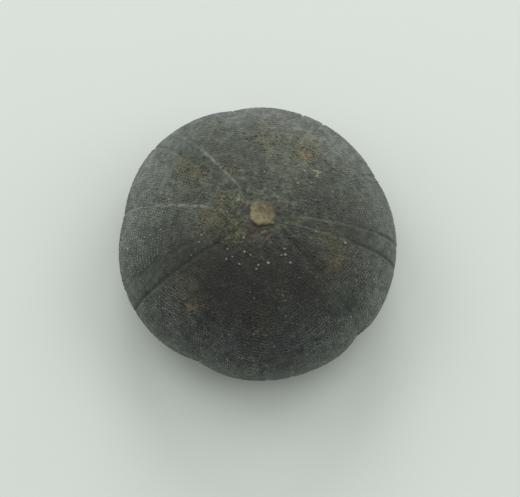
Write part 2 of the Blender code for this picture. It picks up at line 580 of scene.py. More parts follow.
# Where each stain lies: azimuth in degrees, plain radius and size in millimetres, strength.
PATCHES: dict[Stain, tuple[tuple[float, float, float, float], ...]] = {
    Stain.DUST: (
        (0, 9, 1.4, 0.45), (23, 18.6, 1.8, 0.3), (27, 7.9, 1.5, 0.5), (40, 16.8, 1.8, 0.42),
        (47, 16, 6, 0.62), (48, 4.4, 1.8, 0.5), (57, 11.8, 3.2, 0.92), (58, 9.5, 3.2, 0.65),
        (69, 12.8, 2.2, 0.45), (74, 12.2, 2.6, 0.98), (74, 14, 5.2, 0.8), (78, 16.5, 2.5, 0.55),
        (88, 12.3, 1.3, 0.35), (100, 19, 6, 0.36), (101, 4.7, 1.4, 0.8), (118, 12.4, 2.1, 0.64),
        (130, 17.4, 2.2, 0.5), (135.5, 13.8, 1.8, 0.56), (140, 9.5, 3.8, 0.5), (141, 7.7, 1.8, 0.7),
        (150, 19.4, 6, 0.72), (152, 4, 1.3, 0.8), (157, 9.6, 2.8, 0.78), (158, 5.2, 1.6, 0.3),
        (162, 14.8, 3.2, 0.72), (168, 14.3, 2.1, 0.72), (168, 18.6, 4, 0.6), (174, 7.5, 1.1, 0.55),
        (174, 10.1, 2, 0.4), (182, 20.4, 3, 0.4), (195, 7.9, 1.2, 0.8), (200, 9.4, 1.6, 0.5),
        (201, 12.2, 1.5, 0.35), (210, 17.4, 1.3, 0.5), (216, 7.3, 1.6, 0.75), (227, 13.8, 1.7, 0.62),
        (237.5, 4.2, 1.3, 0.35), (255, 13, 1.6, 0.4), (266, 7.2, 1.6, 0.65), (271, 15.6, 1.4, 0.6),
        # The dust spot at 278 degrees and 2.6 mm lightens the plug's front foot, where the plug casts
        # shade: painted light.
        (278, 2.6, 1.1, 0.6), (287, 13, 1.3, 0.5), (297, 6.7, 1.5, 0.55), (300, 16.6, 1.6, 0.6),
        (317, 10.9, 1.6, 0.75), (321, 13, 2, 0.75), (330, 19.6, 2.6, 0.25), (331, 9.2, 1.5, 0.55),
        (335, 5.6, 1.5, 0.35), (343, 12.9, 1.4, 0.45), (355, 20, 5, 0.3),
    ),
    # Painted shade, most of it along the foot of the front side, with small dark patches elsewhere.
    Stain.GRIME: (
        (15, 15, 1.7, 0.28), (35, 12, 1.3, 0.22), (168, 18, 2.6, 0.26), (184, 7.6, 1.3, 0.58),
        (193, 5.2, 3, 0.45), (194, 15.6, 1.8, 0.25), (197, 18.4, 1.5, 0.34), (200, 14.6, 4, 0.3),
        (218, 16.8, 2.2, 0.26), (223, 20, 4, 0.45), (240, 20.3, 2.8, 0.28), (245, 17.2, 5.4, 0.8),
        (264, 9.6, 4.6, 0.42), (276, 17.8, 7.4, 0.95), (287, 17.6, 1.8, 0.3), (292, 15.4, 2.6, 0.32),
        (307, 16.6, 5.2, 0.74), (324, 17.2, 2.4, 0.3), (332.5, 12, 1.1, 0.22), (333, 15.2, 2.8, 0.42),
    ),
    Stain.SOOT: (
        (10, 3.1, 0.7, 0.6), (12, 8.5, 3, 0.45), (96, 4.4, 1, 0.4), (116, 5.2, 1.6, 0.42),
        (122, 9.5, 2.4, 0.2), (207, 11.8, 3, 0.66), (222, 9.5, 3, 0.74), (240, 11.5, 4, 0.92),
        # The soot spot at 243 degrees and 2.7 mm darkens the plug's lower-left foot: painted shade.
        (243, 2.7, 0.7, 0.7), (253, 9.6, 2.6, 0.7), (262, 10, 5.2, 0.92), (262, 14.2, 4, 0.62),
        (284, 9.6, 2.6, 0.65), (285, 7.4, 3.6, 0.84), (300, 11.4, 4, 0.94), (318, 7.5, 3, 0.74),
        (352, 12.8, 2.6, 0.45),
    ),
    Stain.SLATE: (
        (66, 13.8, 2.4, 0.4), (233, 18.4, 1.3, 0.5), (258, 17.8, 3.4, 0.8), (286, 18, 3.4, 0.9),
    ),
    Stain.TEAL: (
        (133, 15.5, 2.4, 0.35), (206, 16, 2.6, 0.45), (210, 17.4, 1.3, 0.35), (314, 16.9, 1.6, 1),
        (321, 18.3, 1.6, 0.5), (351, 17, 2.6, 0.4),
    ),
    Stain.ROSE: (
        (40, 16.8, 3, 0.8), (59, 14.6, 2.6, 0.9), (77.5, 7.8, 1.8, 0.7), (78, 15.6, 3.2, 0.9),
        (162, 17.5, 2.6, 0.7), (326, 13.5, 2.4, 0.5),
    ),
    Stain.UMBER: (
        (2, 9.5, 2, 0.5), (24, 2.4, 0.7, 1), (62, 12.5, 3.4, 0.7), (88, 12.5, 2.6, 0.5),
        (122.5, 8, 1.4, 0.6), (128, 2, 0.6, 0.6), (142, 13.2, 2.2, 0.8), (200, 3.5, 4.5, 0.5),
        (212, 7.5, 3, 0.6), (229, 14.8, 2.9, 0.9), (250, 2.6, 0.9, 1), (262, 9, 5, 0.55),
        (268, 15.6, 2.2, 0.6), (278, 2.6, 0.9, 1), (312, 11, 2.4, 0.6), (331, 12.2, 2.3, 1),
    ),
    Stain.OLIVE: (
        (56, 12.3, 1.5, 0.36), (87, 12.1, 1.9, 0.65), (113, 16.6, 1.2, 0.65), (122.5, 7.8, 0.8, 0.45),
        (144.5, 11.6, 1.3, 0.8), (146, 3.9, 0.8, 0.6), (154.5, 6.4, 1, 0.9), (180, 7.7, 2.4, 0.8),
        (195, 4.4, 1.7, 0.6), (224, 5, 1.4, 0.55), (231, 15.4, 0.9, 0.6), (283.5, 11.3, 1.3, 0.5),
        (333, 9, 1, 0.25), (340, 10.9, 2, 0.66), (343, 8.4, 1.2, 0.5),
    ),
    Stain.SAND: (
        (56.5, 11.9, 1.3, 0.9), (59, 14.6, 0.8, 0.62), (87, 12, 0.9, 0.6), (146, 3.8, 0.8, 0.6),
        (154.5, 6.4, 0.5, 0.8), (172, 7.2, 0.7, 0.35), (184, 8.8, 0.9, 0.35), (226.2, 15.8, 0.35, 0.9),
        (230.4, 16.3, 0.35, 0.95), (268, 15.9, 0.8, 0.4), (278, 2.6, 0.6, 0.75), (283, 11.6, 0.7, 0.35),
        (331, 12.5, 1.4, 0.55),
    ),
    Stain.RUST: (
        (38, 2.2, 0.6, 0.4), (56.5, 11.75, 1, 0.78), (231.2, 16.3, 0.62, 1), (233.6, 16, 0.42, 0.7),
        (282, 3.4, 0.5, 0.6), (328.5, 12.7, 1.5, 0.42),
    ),
    # The brick spot at 242 degrees and 2.05 mm is partly a maroon stain and partly painted shade at the
    # plug's lower-left foot.
    Stain.BRICK: (
        (20, 2.2, 0.75, 0.8), (229.5, 17.4, 1.1, 0.55), (242, 2.05, 1.15, 1), (283, 2.6, 0.45, 0.5),
        (327, 13.4, 1.5, 0.42),
    ),
    Stain.CHALK: (
        (36, 10.6, 0.26, 0.5), (38.5, 10.4, 0.38, 0.85), (40.5, 11.1, 0.42, 0.88), (43.5, 10.8, 0.3, 0.65),
        (166, 13.8, 0.5, 0.6), (289.5, 12.6, 0.6, 0.25),
    ),
}

SPOTS = tuple(
    Spot(stain, azimuth, radius * MM, size * MM, strength)
    for stain, patches in PATCHES.items()
    for azimuth, radius, size, strength in patches
)


# How far some stains rub the surface down, and how strongly small blotches add to others.
STAIN_WEAR = {Stain.SOOT: 0.5, Stain.TEAL: 0.8}
STAIN_BLOTCHES = {Stain.DUST: 0.9, Stain.GRIME: -0.5}


@dataclass
class Weathering:
    """Where the stone is stained and worn, and where shade and rim light are painted on it, for the test
    and for the tubercles on it.
    """

    form: TestForm
    least_wear: float = 0.20
    slow_wear: float = 0.30
    quick_wear: float = 0.40
    crown_wear: float = 0.2
    fresh_share: float = 0.55
    fresh_azimuth: float = 272.0
    fresh_angle: float = 75.0
    fresh_reach: tuple[float, float] = (11.0 * MM, 15.5 * MM)
    crown_reach: tuple[float, float] = (12.0 * MM, 5.0 * MM)
    earth_and_rim_light_reach: tuple[float, float] = (19.5 * MM, 11.5 * MM)
    blotched_azimuth: float = 262.0
    blotched_angle: float = 80.0
    blotched_crown: float = 8.0 * MM

    def stain(self, kind: Stain, places: Array) -> Array:
        """How strongly one stain shows.

        Args:
            kind: Which stain.
            places: Positions on the test, one row each.

        Returns:
            Strengths between 0 and 1.
        """
        clean = np.ones(len(places))
        for spot in (each for each in SPOTS if each.stain is kind):
            arc = self.form.dome_arc(np.array([spot.radius]))
            middle = self.form.place(np.array([spot.azimuth]), arc)[0]
            distance = np.linalg.norm(places - middle, axis=1)
            clean *= 1.0 - spot.strength * bell(distance, spot.size)
        return 1.0 - clean

    def wear(self, places: Array) -> Array:
        """How far the surface is rubbed down: in patches, most on top and least low in front.

        Args:
            places: Positions on the test, one row each.

        Returns:
            Shares between 0 and 1.
        """
        slow = smooth_step(-0.2, 0.6, fractal(places, grain=5.0 * MM, octaves=2, seed=61.0))
        quick = smooth_step(-0.3, 0.7, fractal(places, grain=1.3 * MM, octaves=2, seed=83.0))
        radius = np.hypot(places[:, 0], places[:, 1])
        azimuth = np.degrees(np.arctan2(places[:, 1], places[:, 0]))
        front = bell(turn_between(azimuth, self.fresh_azimuth), self.fresh_angle)
        fresh = front * smooth_step(*self.fresh_reach, radius)
        wear = self.least_wear + self.slow_wear * slow + self.quick_wear * quick
        for kind, share in STAIN_WEAR.items():
            wear = wear + share * self.stain(kind, places)
        crown = smooth_step(*self.crown_reach, radius)
        return np.clip(wear + self.crown_wear * crown - self.fresh_share * fresh, 0.0, 1.0)

    def blotches(self, azimuth: Array, radius: Array, places: Array) -> Array:
        """Small paler and darker patches on the crown and down the front side.

        Args:
            azimuth: Azimuths in degrees.
            radius: Plain radii in metres.
            places: Positions on the test, one row each.

        Returns:
            Values above 0 where it is paler and below 0 where it is darker.
        """
        front = bell(turn_between(azimuth, self.blotched_azimuth), self.blotched_angle)
        share = np.clip(front + bell(radius, self.blotched_crown), 0.0, 1.0)
        return share * fractal(places, grain=1.1 * MM, octaves=2, seed=19.0)

    def apply(self, mesh: bpy.types.Mesh, azimuth: Array, arc: Array, places: Array) -> None:
        """Write every stain, the painted shade, where the ambulacra are, and the darker top that leaves the
        side lighter as painted rim light, to a mesh.

        Args:
            mesh: The mesh, one vertex for each place.
            azimuth: Azimuths in degrees.
            arc: Arcs in metres.
            places: Positions on the test, one row each.
        """
        radius = self.form.radius_at(arc)
        band = self.form.band_share(azimuth, radius, tinted=True) * self.form.furrow_fade(arc)
        write_attribute(mesh, "band", band)
        write_attribute(mesh, "wear", self.wear(places))
        # Darker on top of the dome and lighter towards the side: an earthy tint, and painted rim light
        # where the side catches more light.
        earth = smooth_step(*self.earth_and_rim_light_reach, radius)
        write_attribute(mesh, "earth", np.where(arc < self.form.ambitus_arc, earth, 0.0))
        blotches = self.blotches(azimuth, radius, places)
        for kind in Stain:
            added = np.clip(STAIN_BLOTCHES.get(kind, 0.0) * blotches, 0.0, 1.0)
            write_attribute(mesh, kind.value, np.clip(self.stain(kind, places) + added, 0.0, 1.0))


def write_attribute(mesh: bpy.types.Mesh, name: str, values: Array) -> None:
    """Store one number or vector for each vertex of a mesh.

    Args:
        mesh: The mesh.
        name: The attribute's name.
        values: The values: one column, or three for vectors.
    """
    kind, key = ("FLOAT_VECTOR", "vector") if values.ndim == 2 else ("FLOAT", "value")
    layer = mesh.attributes.new(name, kind, "POINT")
    layer.data.foreach_set(key, np.ascontiguousarray(values, dtype=np.float32).ravel())


def read_values(items: bpy.types.bpy_prop_collection, key: str, kind: type, width: int = 1) -> Array:
    """Read one value, or one vector, of every item in a collection.

    Args:
        items: The collection.
        key: The value's name.
        kind: The type of its numbers.
        width: How many numbers each value has.

    Returns:
        The values, one row for each item where they are vectors.
    """
    values = np.empty(len(items) * width, dtype=kind)
    items.foreach_get(key, values)
    return values.reshape(-1, width) if width > 1 else values


def mesh_from(name: str, body: bmesh.types.BMesh) -> bpy.types.Mesh:
    """Turn a modelled shape into a mesh, and free it.

    Args:
        name: The mesh's name.
        body: The shape.

    Returns:
        The mesh.
    """
    mesh = bpy.data.meshes.new(name)
    body.to_mesh(mesh)
    body.free()
    return mesh


def add_object(name: str, data: bpy.types.ID) -> bpy.types.Object:
    """Put a mesh, a light or a camera in the scene.

    Args:
        name: The object's name.
        data: The mesh, light or camera.

    Returns:
        The object.
    """
    holder = bpy.data.objects.new(name, data)
    bpy.context.scene.collection.objects.link(holder)
    return holder


@dataclass(frozen=True)
class Layer:
    """A layer of noise in a finish: the size of its lumps in metres, its finer layers and their strength.

    Low is where the noise counts as 0, and high where it counts as 1.
    """

    grain: float
    detail: float
    rough: float
    low: float
    high: float


class Bench:
    """Places and wires the nodes of one shader or geometry tree."""

    def __init__(self, tree: bpy.types.NodeTree) -> None:
        """Start on a tree.

        Args:
            tree: The tree to work on.
        """
        self.tree = tree

    def node(self, kind: str, settings: dict | None = None, **inputs: object) -> bpy.types.Node:
        """Place a node.

        Args:
            kind: The node's type name.
            settings: Values for the node's own properties.
            **inputs: Values or sockets for its inputs, by name with _ for spaces.

        Returns:
            The node.
        """
        made = self.tree.nodes.new(kind)
        for name, value in (settings or {}).items():
            setattr(made, name, value)
        for name, value in inputs.items():
            self.feed(made.inputs[name.replace("_", " ")], value)
        return made

    def feed(self, socket: bpy.types.NodeSocket, value: object) -> None:
        """Set a socket to a value, or link it to another socket.

        Args:
            socket: The socket.
            value: The value or the other socket.
        """
        if isinstance(value, bpy.types.NodeSocket):
            self.tree.links.new(value, socket)
        elif isinstance(value, tuple) and len(value) == 3 and socket.type == "RGBA":
            socket.default_value = (*value, 1.0)
        else:
            socket.default_value = value

    def maths(self, operation: str, *values: object, clamp: bool = False) -> bpy.types.NodeSocket:
        """Work out a number.

        Args:
            operation: The Math node's operation.
            *values: Its numbers or sockets, in order.
            clamp: Whether the result stays between 0 and 1.

        Returns:
            The result's socket.
        """
        made = self.node("ShaderNodeMath", {"operation": operation, "use_clamp": clamp})
        for socket, value in zip(made.inputs, values):
            self.feed(socket, value)
        return made.outputs[0]

    def mix(self, share: object, low: object, high: object, blend: str = "MIX") -> bpy.types.NodeSocket:
        """Mix two colours.

        Args:
            share: How much of the second colour shows.
            low: The first colour.
            high: The second colour.
            blend: How they are mixed.

        Returns:
            The mixed colour's socket.
        """
        made = self.node("ShaderNodeMix", {"data_type": "RGBA", "blend_type": blend})
        self.feed(made.inputs[0], share)
        self.feed(made.inputs[6], low)
        self.feed(made.inputs[7], high)
        return made.outputs[2]

    def noise(self, vector: object, grain: float, detail: float, rough: float) -> bpy.types.NodeSocket:
        """Noise on a coordinate.

        Args:
            vector: The coordinate's socket.
            grain: Size of its lumps in metres.
            detail: How many finer layers it has.
            rough: How strong the finer layers are.

        Returns:
            The noise value's socket, around 0.5.
        """
        sizes = {"Scale": 1.0 / grain, "Detail": detail, "Roughness": rough}
        return self.node("ShaderNodeTexNoise", Vector=vector, **sizes).outputs["Fac"]

    def ramp(self, value: object, low: float, high: float) -> bpy.types.NodeSocket:
        """Ease a value from 0 to 1.

        Args:
            value: The value's socket.
            low: Where the result is 0.
            high: Where the result is 1.

        Returns:
            The eased value's socket.
        """
        eased = {"interpolation_type": "SMOOTHSTEP"}
        made = self.node("ShaderNodeMapRange", eased, Value=value, From_Min=low, From_Max=high)
        return made.outputs["Result"]

    def patches(self, vector: object, layer: Layer) -> bpy.types.NodeSocket:
        """Patches of a layer of noise: 0 between them and 1 in their middles."""
        return self.ramp(self.noise(vector, layer.grain, layer.detail, layer.rough), layer.low, layer.high)

    def tint(self, mask: object, colour: object, shade: object, share: float = 1.0) -> bpy.types.NodeSocket:
        """Multiply a colour by a shade where a mask shows.

        Args:
            mask: The mask's socket.
            colour: The colour's socket.
            shade: The shade.
            share: How much of the mask counts.

        Returns:
            The tinted colour's socket.
        """
        if share != 1.0:
            mask = self.maths("MULTIPLY", mask, share)
        return self.mix(mask, colour, shade, "MULTIPLY")

    def attribute(self, name: str) -> bpy.types.NodeSocket:
        """The value of a mesh attribute."""
        return self.node("ShaderNodeAttribute", {"attribute_name": name}).outputs["Fac"]


def new_group(name: str, inputs: dict[str, str], outputs: dict[str, str]) -> bpy.types.NodeTree:
    """Start a shader node group.

    Args:
        name: The group's name.
        inputs: The kinds of its inputs, by name.
        outputs: The kinds of its outputs, by name.

    Returns:
        The group, still empty but for its sockets.
    """
    group = bpy.data.node_groups.new(name, "ShaderNodeTree")
    for title, kind in inputs.items():
        group.interface.new_socket(title, in_out="INPUT", socket_type=kind)
    for title, kind in outputs.items():
        group.interface.new_socket(title, in_out="OUTPUT", socket_type=kind)
    return group


# Stains that tint the stone, each by a shade that it is multiplied by.
STAIN_SHADES: dict[Stain, Colour] = {
    Stain.DUST: (1.58, 1.60, 1.58),
    Stain.SOOT: (0.38, 0.36, 0.35),
    # Painted shade: darkens the stone where its mask lies.
    Stain.GRIME: (0.37, 0.355, 0.36),
    Stain.UMBER: (1.02, 0.88, 0.70),
    Stain.ROSE: (1.08, 0.99, 1.06),
    Stain.SLATE: (0.88, 0.96, 1.10),
    Stain.TEAL: (0.62, 0.72, 0.69),
}
# Stains that cover the stone with a crust, each with its colour and how fully it covers.
STAIN_CRUSTS: dict[Stain, tuple[Colour, float]] = {
    Stain.OLIVE: ((0.098, 0.094, 0.046), 0.72),
    Stain.SAND: ((0.200, 0.188, 0.112), 0.60),
    Stain.RUST: ((0.200, 0.140, 0.078), 0.75),
    Stain.BRICK: ((0.040, 0.026, 0.022), 0.90),
    Stain.CHALK: ((0.310, 0.300, 0.235), 0.80),
}


class StoneEffects:
    """Node groups that the stone finishes share: mottled stone, and the ground's stains with painted shade
    and painted rim light.
    """

    slow: Layer = Layer(5.0 * MM, 3.0, 0.55, 0.36, 0.64)
    clouds: Layer = Layer(1.3 * MM, 3.0, 0.6, 0.40, 0.62)
    clots: Layer = Layer(0.60 * MM, 2.0, 0.5, 0.42, 0.62)
    grains: Layer = Layer(0.22 * MM, 3.0, 0.65, 0.35, 0.72)
    warmth: Layer = Layer(3.2 * MM, 2.0, 0.5, 0.42, 0.64)
    base_share: float = -0.20
    slow_share: float = 0.25
    cloud_share: float = 0.50
    clot_share: float = 0.38
    warm_share: float = 0.45
    warm_shade: Colour = (1.08, 0.99, 0.88)
    band_share: float = 0.45
    band_shade: Colour = (0.74, 0.86, 0.80)
    # Earthy tint on the dome's top, and painted rim light: the darker top leaves the side lighter.
    earth_and_rim_light_shade: Colour = (0.60, 0.60, 0.52)
    smear_share: float = 0.45
    smear_colour: Colour = (0.0120, 0.0122, 0.0098)
    crust_edge: tuple[float, float] = (1.50, 2.25)
    coarse_weight: float = 0.6
    fine_weight: float = 2.0
    softness: float = 0.5
    cloud_height: float = 0.6

    def __init__(self) -> None:
        """Build each group once."""
        self.mottle = self.build_mottle()
        self.stains = self.build_stains()

    def build_mottle(self) -> bpy.types.NodeTree:
        """Build the mottled stone: slow patches, grains and dark pits, with a height.

        Returns:
            The group.
        """
        inputs = {"Vector": VECTOR_SOCKET, "Dark": COLOUR_SOCKET, "Light": COLOUR_SOCKET}
        inputs |= {"Grain": FLOAT_SOCKET}
        group = new_group("mottled_stone", inputs, {"Color": COLOUR_SOCKET, "Height": FLOAT_SOCKET})
        bench = Bench(group)
        given = bench.node("NodeGroupInput")
        where = given.outputs["Vector"]
        clouds = bench.patches(where, self.clouds)
        weighted = (
            (bench.patches(where, self.slow), self.slow_share),
            (clouds, self.cloud_share),
            (bench.patches(where, self.clots), self.clot_share),
            (bench.patches(where, self.grains), given.outputs["Grain"]),
        )
        share = self.base_share
        for layer, weight in weighted:
            share = bench.maths("MULTIPLY_ADD", layer, weight, share)
        colour = bench.mix(share, given.outputs["Dark"], given.outputs["Light"])
        warm = bench.patches(where, self.warmth)
        colour = bench.tint(warm, colour, self.warm_shade, self.warm_share)
        fine = bench.noise(where, grain=0.12 * MM, detail=2.0, rough=0.6)
        height = bench.maths("MULTIPLY_ADD", clouds, self.cloud_height, fine)
        bench.node("NodeGroupOutput", Color=colour, Height=height)
        return group

    def build_stains(self) -> bpy.types.NodeTree:
        """Build the stains, painted shade among them, broken up by noise so that none has a drawn edge, and
        the painted rim light.

        Returns:
            The group.
        """
        inputs = {"Color": COLOUR_SOCKET, "Vector": VECTOR_SOCKET}
        inputs |= {"Band": FLOAT_SOCKET, "Earth": FLOAT_SOCKET}
        inputs |= {kind.value.title(): FLOAT_SOCKET for kind in Stain}
        group = new_group("ground_stains", inputs, {"Color": COLOUR_SOCKET})
        bench = Bench(group)
        given = bench.node("NodeGroupInput")
        coarse = bench.noise(given.outputs["Vector"], grain=1.3 * MM, detail=3.0, rough=0.6)
        fine = bench.noise(given.outputs["Vector"], grain=0.32 * MM, detail=3.0, rough=0.65)
        lumps = bench.maths("MULTIPLY", coarse, self.coarse_weight)
        broken = bench.maths("MULTIPLY_ADD", fine, self.fine_weight, lumps)
        soft = bench.maths("MULTIPLY_ADD", bench.maths("SUBTRACT", coarse, 0.5), self.softness, 1.0)
        colour = bench.tint(given.outputs["Band"], given.outputs["Color"], self.band_shade, self.band_share)
        # Darken the top of the dome: an earthy tint, and painted rim light.
        colour = bench.tint(given.outputs["Earth"], colour, self.earth_and_rim_light_shade)
        for kind, shade in STAIN_SHADES.items():
            share = bench.maths("MULTIPLY", given.outputs[kind.value.title()], soft, clamp=True)
            colour = bench.tint(share, colour, shade)
        smear = bench.maths("MULTIPLY", given.outputs[Stain.SOOT.value.title()], self.smear_share)
        colour = bench.mix(smear, colour, self.smear_colour)
        for kind, (shade, strength) in STAIN_CRUSTS.items():
            reach = bench.maths("ADD", given.outputs[kind.value.title()], broken)
            share = bench.maths("MULTIPLY", bench.ramp(reach, *self.crust_edge), strength)
            colour = bench.mix(share, colour, shade)
        bench.node("NodeGroupOutput", Color=colour)
        return group


class StoneBench(Bench):
    """A bench on a stone finish's tree, with the object's own coordinate and the stains at hand."""

    def __init__(self, tree: bpy.types.NodeTree, effects: StoneEffects) -> None:
        """Start on a tree.

        Args:
            tree: The tree to work on.
            effects: The shared node groups.
        """
        super().__init__(tree)
        self.effects = effects
        self.where = self.node("ShaderNodeTexCoord").outputs["Object"]

    def stained(self, colour: object) -> bpy.types.NodeSocket:
        """Lay the ground's stains, the painted shade and the painted rim light over a colour.

        Args:
            colour: The colour or its socket.

        Returns:
            The stained colour's socket.
        """
        group = {"node_tree": self.effects.stains}
        stained = self.node("ShaderNodeGroup", group, Vector=self.where, Color=colour)
        for name in ("band", "earth", *(kind.value for kind in Stain)):
            self.feed(stained.inputs[name.title()], self.attribute(name))
        return stained.outputs["Color"]


@dataclass(frozen=True)
class StoneFinish:
    """Dull weathered stone, stained where the mesh says so."""

    name: str
    dark: Colour
    light: Colour
    roughness: float
    grain: float = 0.30
    bump: float = 0.25
    bump_depth: float = 0.03 * MM
    dust: float = 0.20
    dust_roughness: float = 0.5
    gloss: float = 0.4

    def dress(self, bench: StoneBench, stone: object) -> bpy.types.NodeSocket:
        """Stain the mottled stone. Each finish that does more has its own way."""
        return bench.stained(stone)

    def build(self, effects: StoneEffects) -> bpy.types.Material:
        """Build the material.

        Args:
            effects: The shared node groups.

        Returns:
            The material.
        """
        material = bpy.data.materials.new(self.name)
        material.use_nodes = True
        material.node_tree.nodes.clear()
        bench = StoneBench(material.node_tree, effects)
        sizes = {"Dark": self.dark, "Light": self.light, "Grain": self.grain}
        stone = bench.node("ShaderNodeGroup", {"node_tree": effects.mottle}, Vector=bench.where, **sizes)
        height = stone.outputs["Height"]
        bump = bench.node("ShaderNodeBump", Strength=self.bump, Distance=self.bump_depth, Height=height)
        shader = bench.node(
            "ShaderNodeBsdfPrincipled",
            Base_Color=self.dress(bench, stone.outputs["Color"]),
            Roughness=self.roughness,
            Normal=bump.outputs["Normal"],
            Specular_IOR_Level=self.gloss,
            Sheen_Weight=self.dust,
            Sheen_Roughness=self.dust_roughness,
        )
        bench.node("ShaderNodeOutputMaterial", Surface=shader.outputs["BSDF"])
        return material


@dataclass(frozen=True)
class GroundFinish(StoneFinish):
    """The stone between the tubercles, with the tan plug, its dark rim and the filled mouth."""

    plug_dark: Colour = (0.078, 0.066, 0.031)
    plug_light: Colour = (0.222, 0.200, 0.108)
    # Painted shade in the grooves.
    shade: Colour = (0.020, 0.023, 0.019)
    # Painted highlight along the grooves, standing for their lit walls.
    fill: Colour = (0.170, 0.180, 0.158)
    rubbed: Colour = (1.25, 1.25, 1.25)
    # Painted light on the clots' tops and painted shade in their hollows.
    lump_top_light: Colour = (1.40, 1.44, 1.38)
    lump_hollow_shade: Colour = (0.78, 0.79, 0.77)
    vein_shade: Colour = (0.60, 0.60, 0.50)
    rosy_shade: Colour = (1.12, 0.96, 1.02)
    patchy: Layer = Layer(0.7 * MM, 3.0, 0.65, 0.34, 0.62)
    veins: Layer = Layer(0.36 * MM, 3.0, 0.6, 0.46, 0.66)
    rosy: Layer = Layer(1.4 * MM, 2.0, 0.5, 0.48, 0.62)
    vein_share: float = 0.75
    rosy_share: float = 0.6
    hollow_shade_strength: float = -1.6
    pale_share: float = 0.36
    pale_edge: tuple[float, float] = (0.38, 0.90)
    rim_raggedness: float = 1.3
    rim_edge: tuple[float, float] = (0.35, 1.05)

    def dress(self, bench: StoneBench, stone: object) -> bpy.types.NodeSocket:
        """Stain the stone, paint shade and highlight along its grooves and light and shade on the mud
        clots, and set the plug in it.

        Args:
            bench: The bench on the material's tree.
            stone: The mottled stone's colour.

        Returns:
            The colour's socket.
        """
        colour = bench.tint(bench.attribute("wear"), bench.stained(stone), self.rubbed)
        # Painted light on the mud clots' tops and painted shade in the hollows between them, following
        # their relief.
        lump = bench.attribute("lump")
        colour = bench.tint(bench.maths("MULTIPLY", lump, 1.0, clamp=True), colour, self.lump_top_light)
        foot = bench.maths("MULTIPLY", lump, self.hollow_shade_strength, clamp=True)
        colour = bench.tint(foot, colour, self.lump_hollow_shade)
        # Painted shade where shade falls in the grooves.
        colour = bench.mix(bench.attribute("shade"), colour, self.shade)
        # Painted highlight: a pale line along each groove for its lit wall.
        filled = bench.maths("MULTIPLY", bench.attribute("fill"), bench.patches(bench.where, self.patchy))
        colour = bench.mix(filled, colour, self.fill)
        ragged = bench.noise(bench.where, grain=0.45 * MM, detail=4.0, rough=0.7)
        shift = bench.maths("MULTIPLY_ADD", ragged, self.rim_raggedness, -0.5 * self.rim_raggedness)
        edge = bench.maths("ADD", bench.attribute("plug"), shift)
        return bench.mix(bench.ramp(edge, *self.rim_edge), colour, self.plug_colour(bench))

    def plug_colour(self, bench: StoneBench) -> bpy.types.NodeSocket:
        """Place the plug's colours: tan, paler on one side, with dark veins and rosy patches.

        Args:
            bench: The bench on the material's tree.

        Returns:
            The colour's socket.
        """
        spots = bench.noise(bench.where, grain=0.9 * MM, detail=6.0, rough=0.75)
        tan = bench.maths("MULTIPLY_ADD", bench.attribute("pale"), self.pale_share, spots)
        plug = bench.mix(bench.ramp(tan, *self.pale_edge), self.plug_dark, self.plug_light)
        veins = bench.patches(bench.where, self.veins)
        plug = bench.tint(veins, plug, self.vein_shade, self.vein_share)
        rosy = bench.patches(bench.where, self.rosy)
        return bench.tint(rosy, plug, self.rosy_shade, self.rosy_share)


@dataclass(frozen=True)
class TubercleFinish(StoneFinish):
    """The tubercles: the same stone, paler where their tops are rubbed."""

    worn: Colour = (0.300, 0.325, 0.290)
    dirt: Colour = (0.50, 0.50, 0.49)

    def dress(self, bench: StoneBench, stone: object) -> bpy.types.NodeSocket:
        """Pale the tubercles' tops, stain them, and darken the worn ones.

        Args:
            bench: The bench on the material's tree.
            stone: The mottled stone's colour.

        Returns:
            The colour's socket.
        """
        crown = bench.maths("MULTIPLY", bench.attribute("crown"), bench.attribute("tone"))
        colour = bench.stained(bench.mix(crown, stone, self.worn))
        return bench.tint(bench.attribute("wear"), colour, self.dirt)


@dataclass(frozen=True)
class GrainFinish(StoneFinish):
    """Pale crystals that stand out on the dark stone, some of them under dust."""

    dusty: Colour = (0.110, 0.125, 0.110)

    def dress(self, bench: StoneBench, stone: object) -> bpy.types.NodeSocket:
        """Lay stained dust on the crystals that have a low tone."""
        share = bench.ramp(bench.attribute("tone"), 0.0, 1.0)
        return bench.mix(share, bench.stained(self.dusty), stone)


@dataclass(frozen=True)
class MudFinish(StoneFinish):
    """Dried mud, coloured by the stain that it lies on."""

    pale: Colour = (1.70, 1.68, 1.58)

    def dress(self, bench: StoneBench, stone: object) -> bpy.types.NodeSocket:
        """Stain the mud, paler where its tone is high."""
        return bench.tint(bench.attribute("tone"), bench.stained(stone), self.pale)


@dataclass(frozen=True)
class FloorFinish:
    """Plain pale card."""

    colour: Colour = (0.70, 0.74, 0.70)
    roughness: float = 0.9

    def build(self) -> bpy.types.Material:
        """Build the material.

        Returns:
            The material.
        """
        material = bpy.data.materials.new("pale_floor")
        material.use_nodes = True
        shader = material.node_tree.nodes["Principled BSDF"]
        shader.inputs["Base Color"].default_value = (*self.colour, 1.0)
        shader.inputs["Roughness"].default_value = self.roughness
        return material


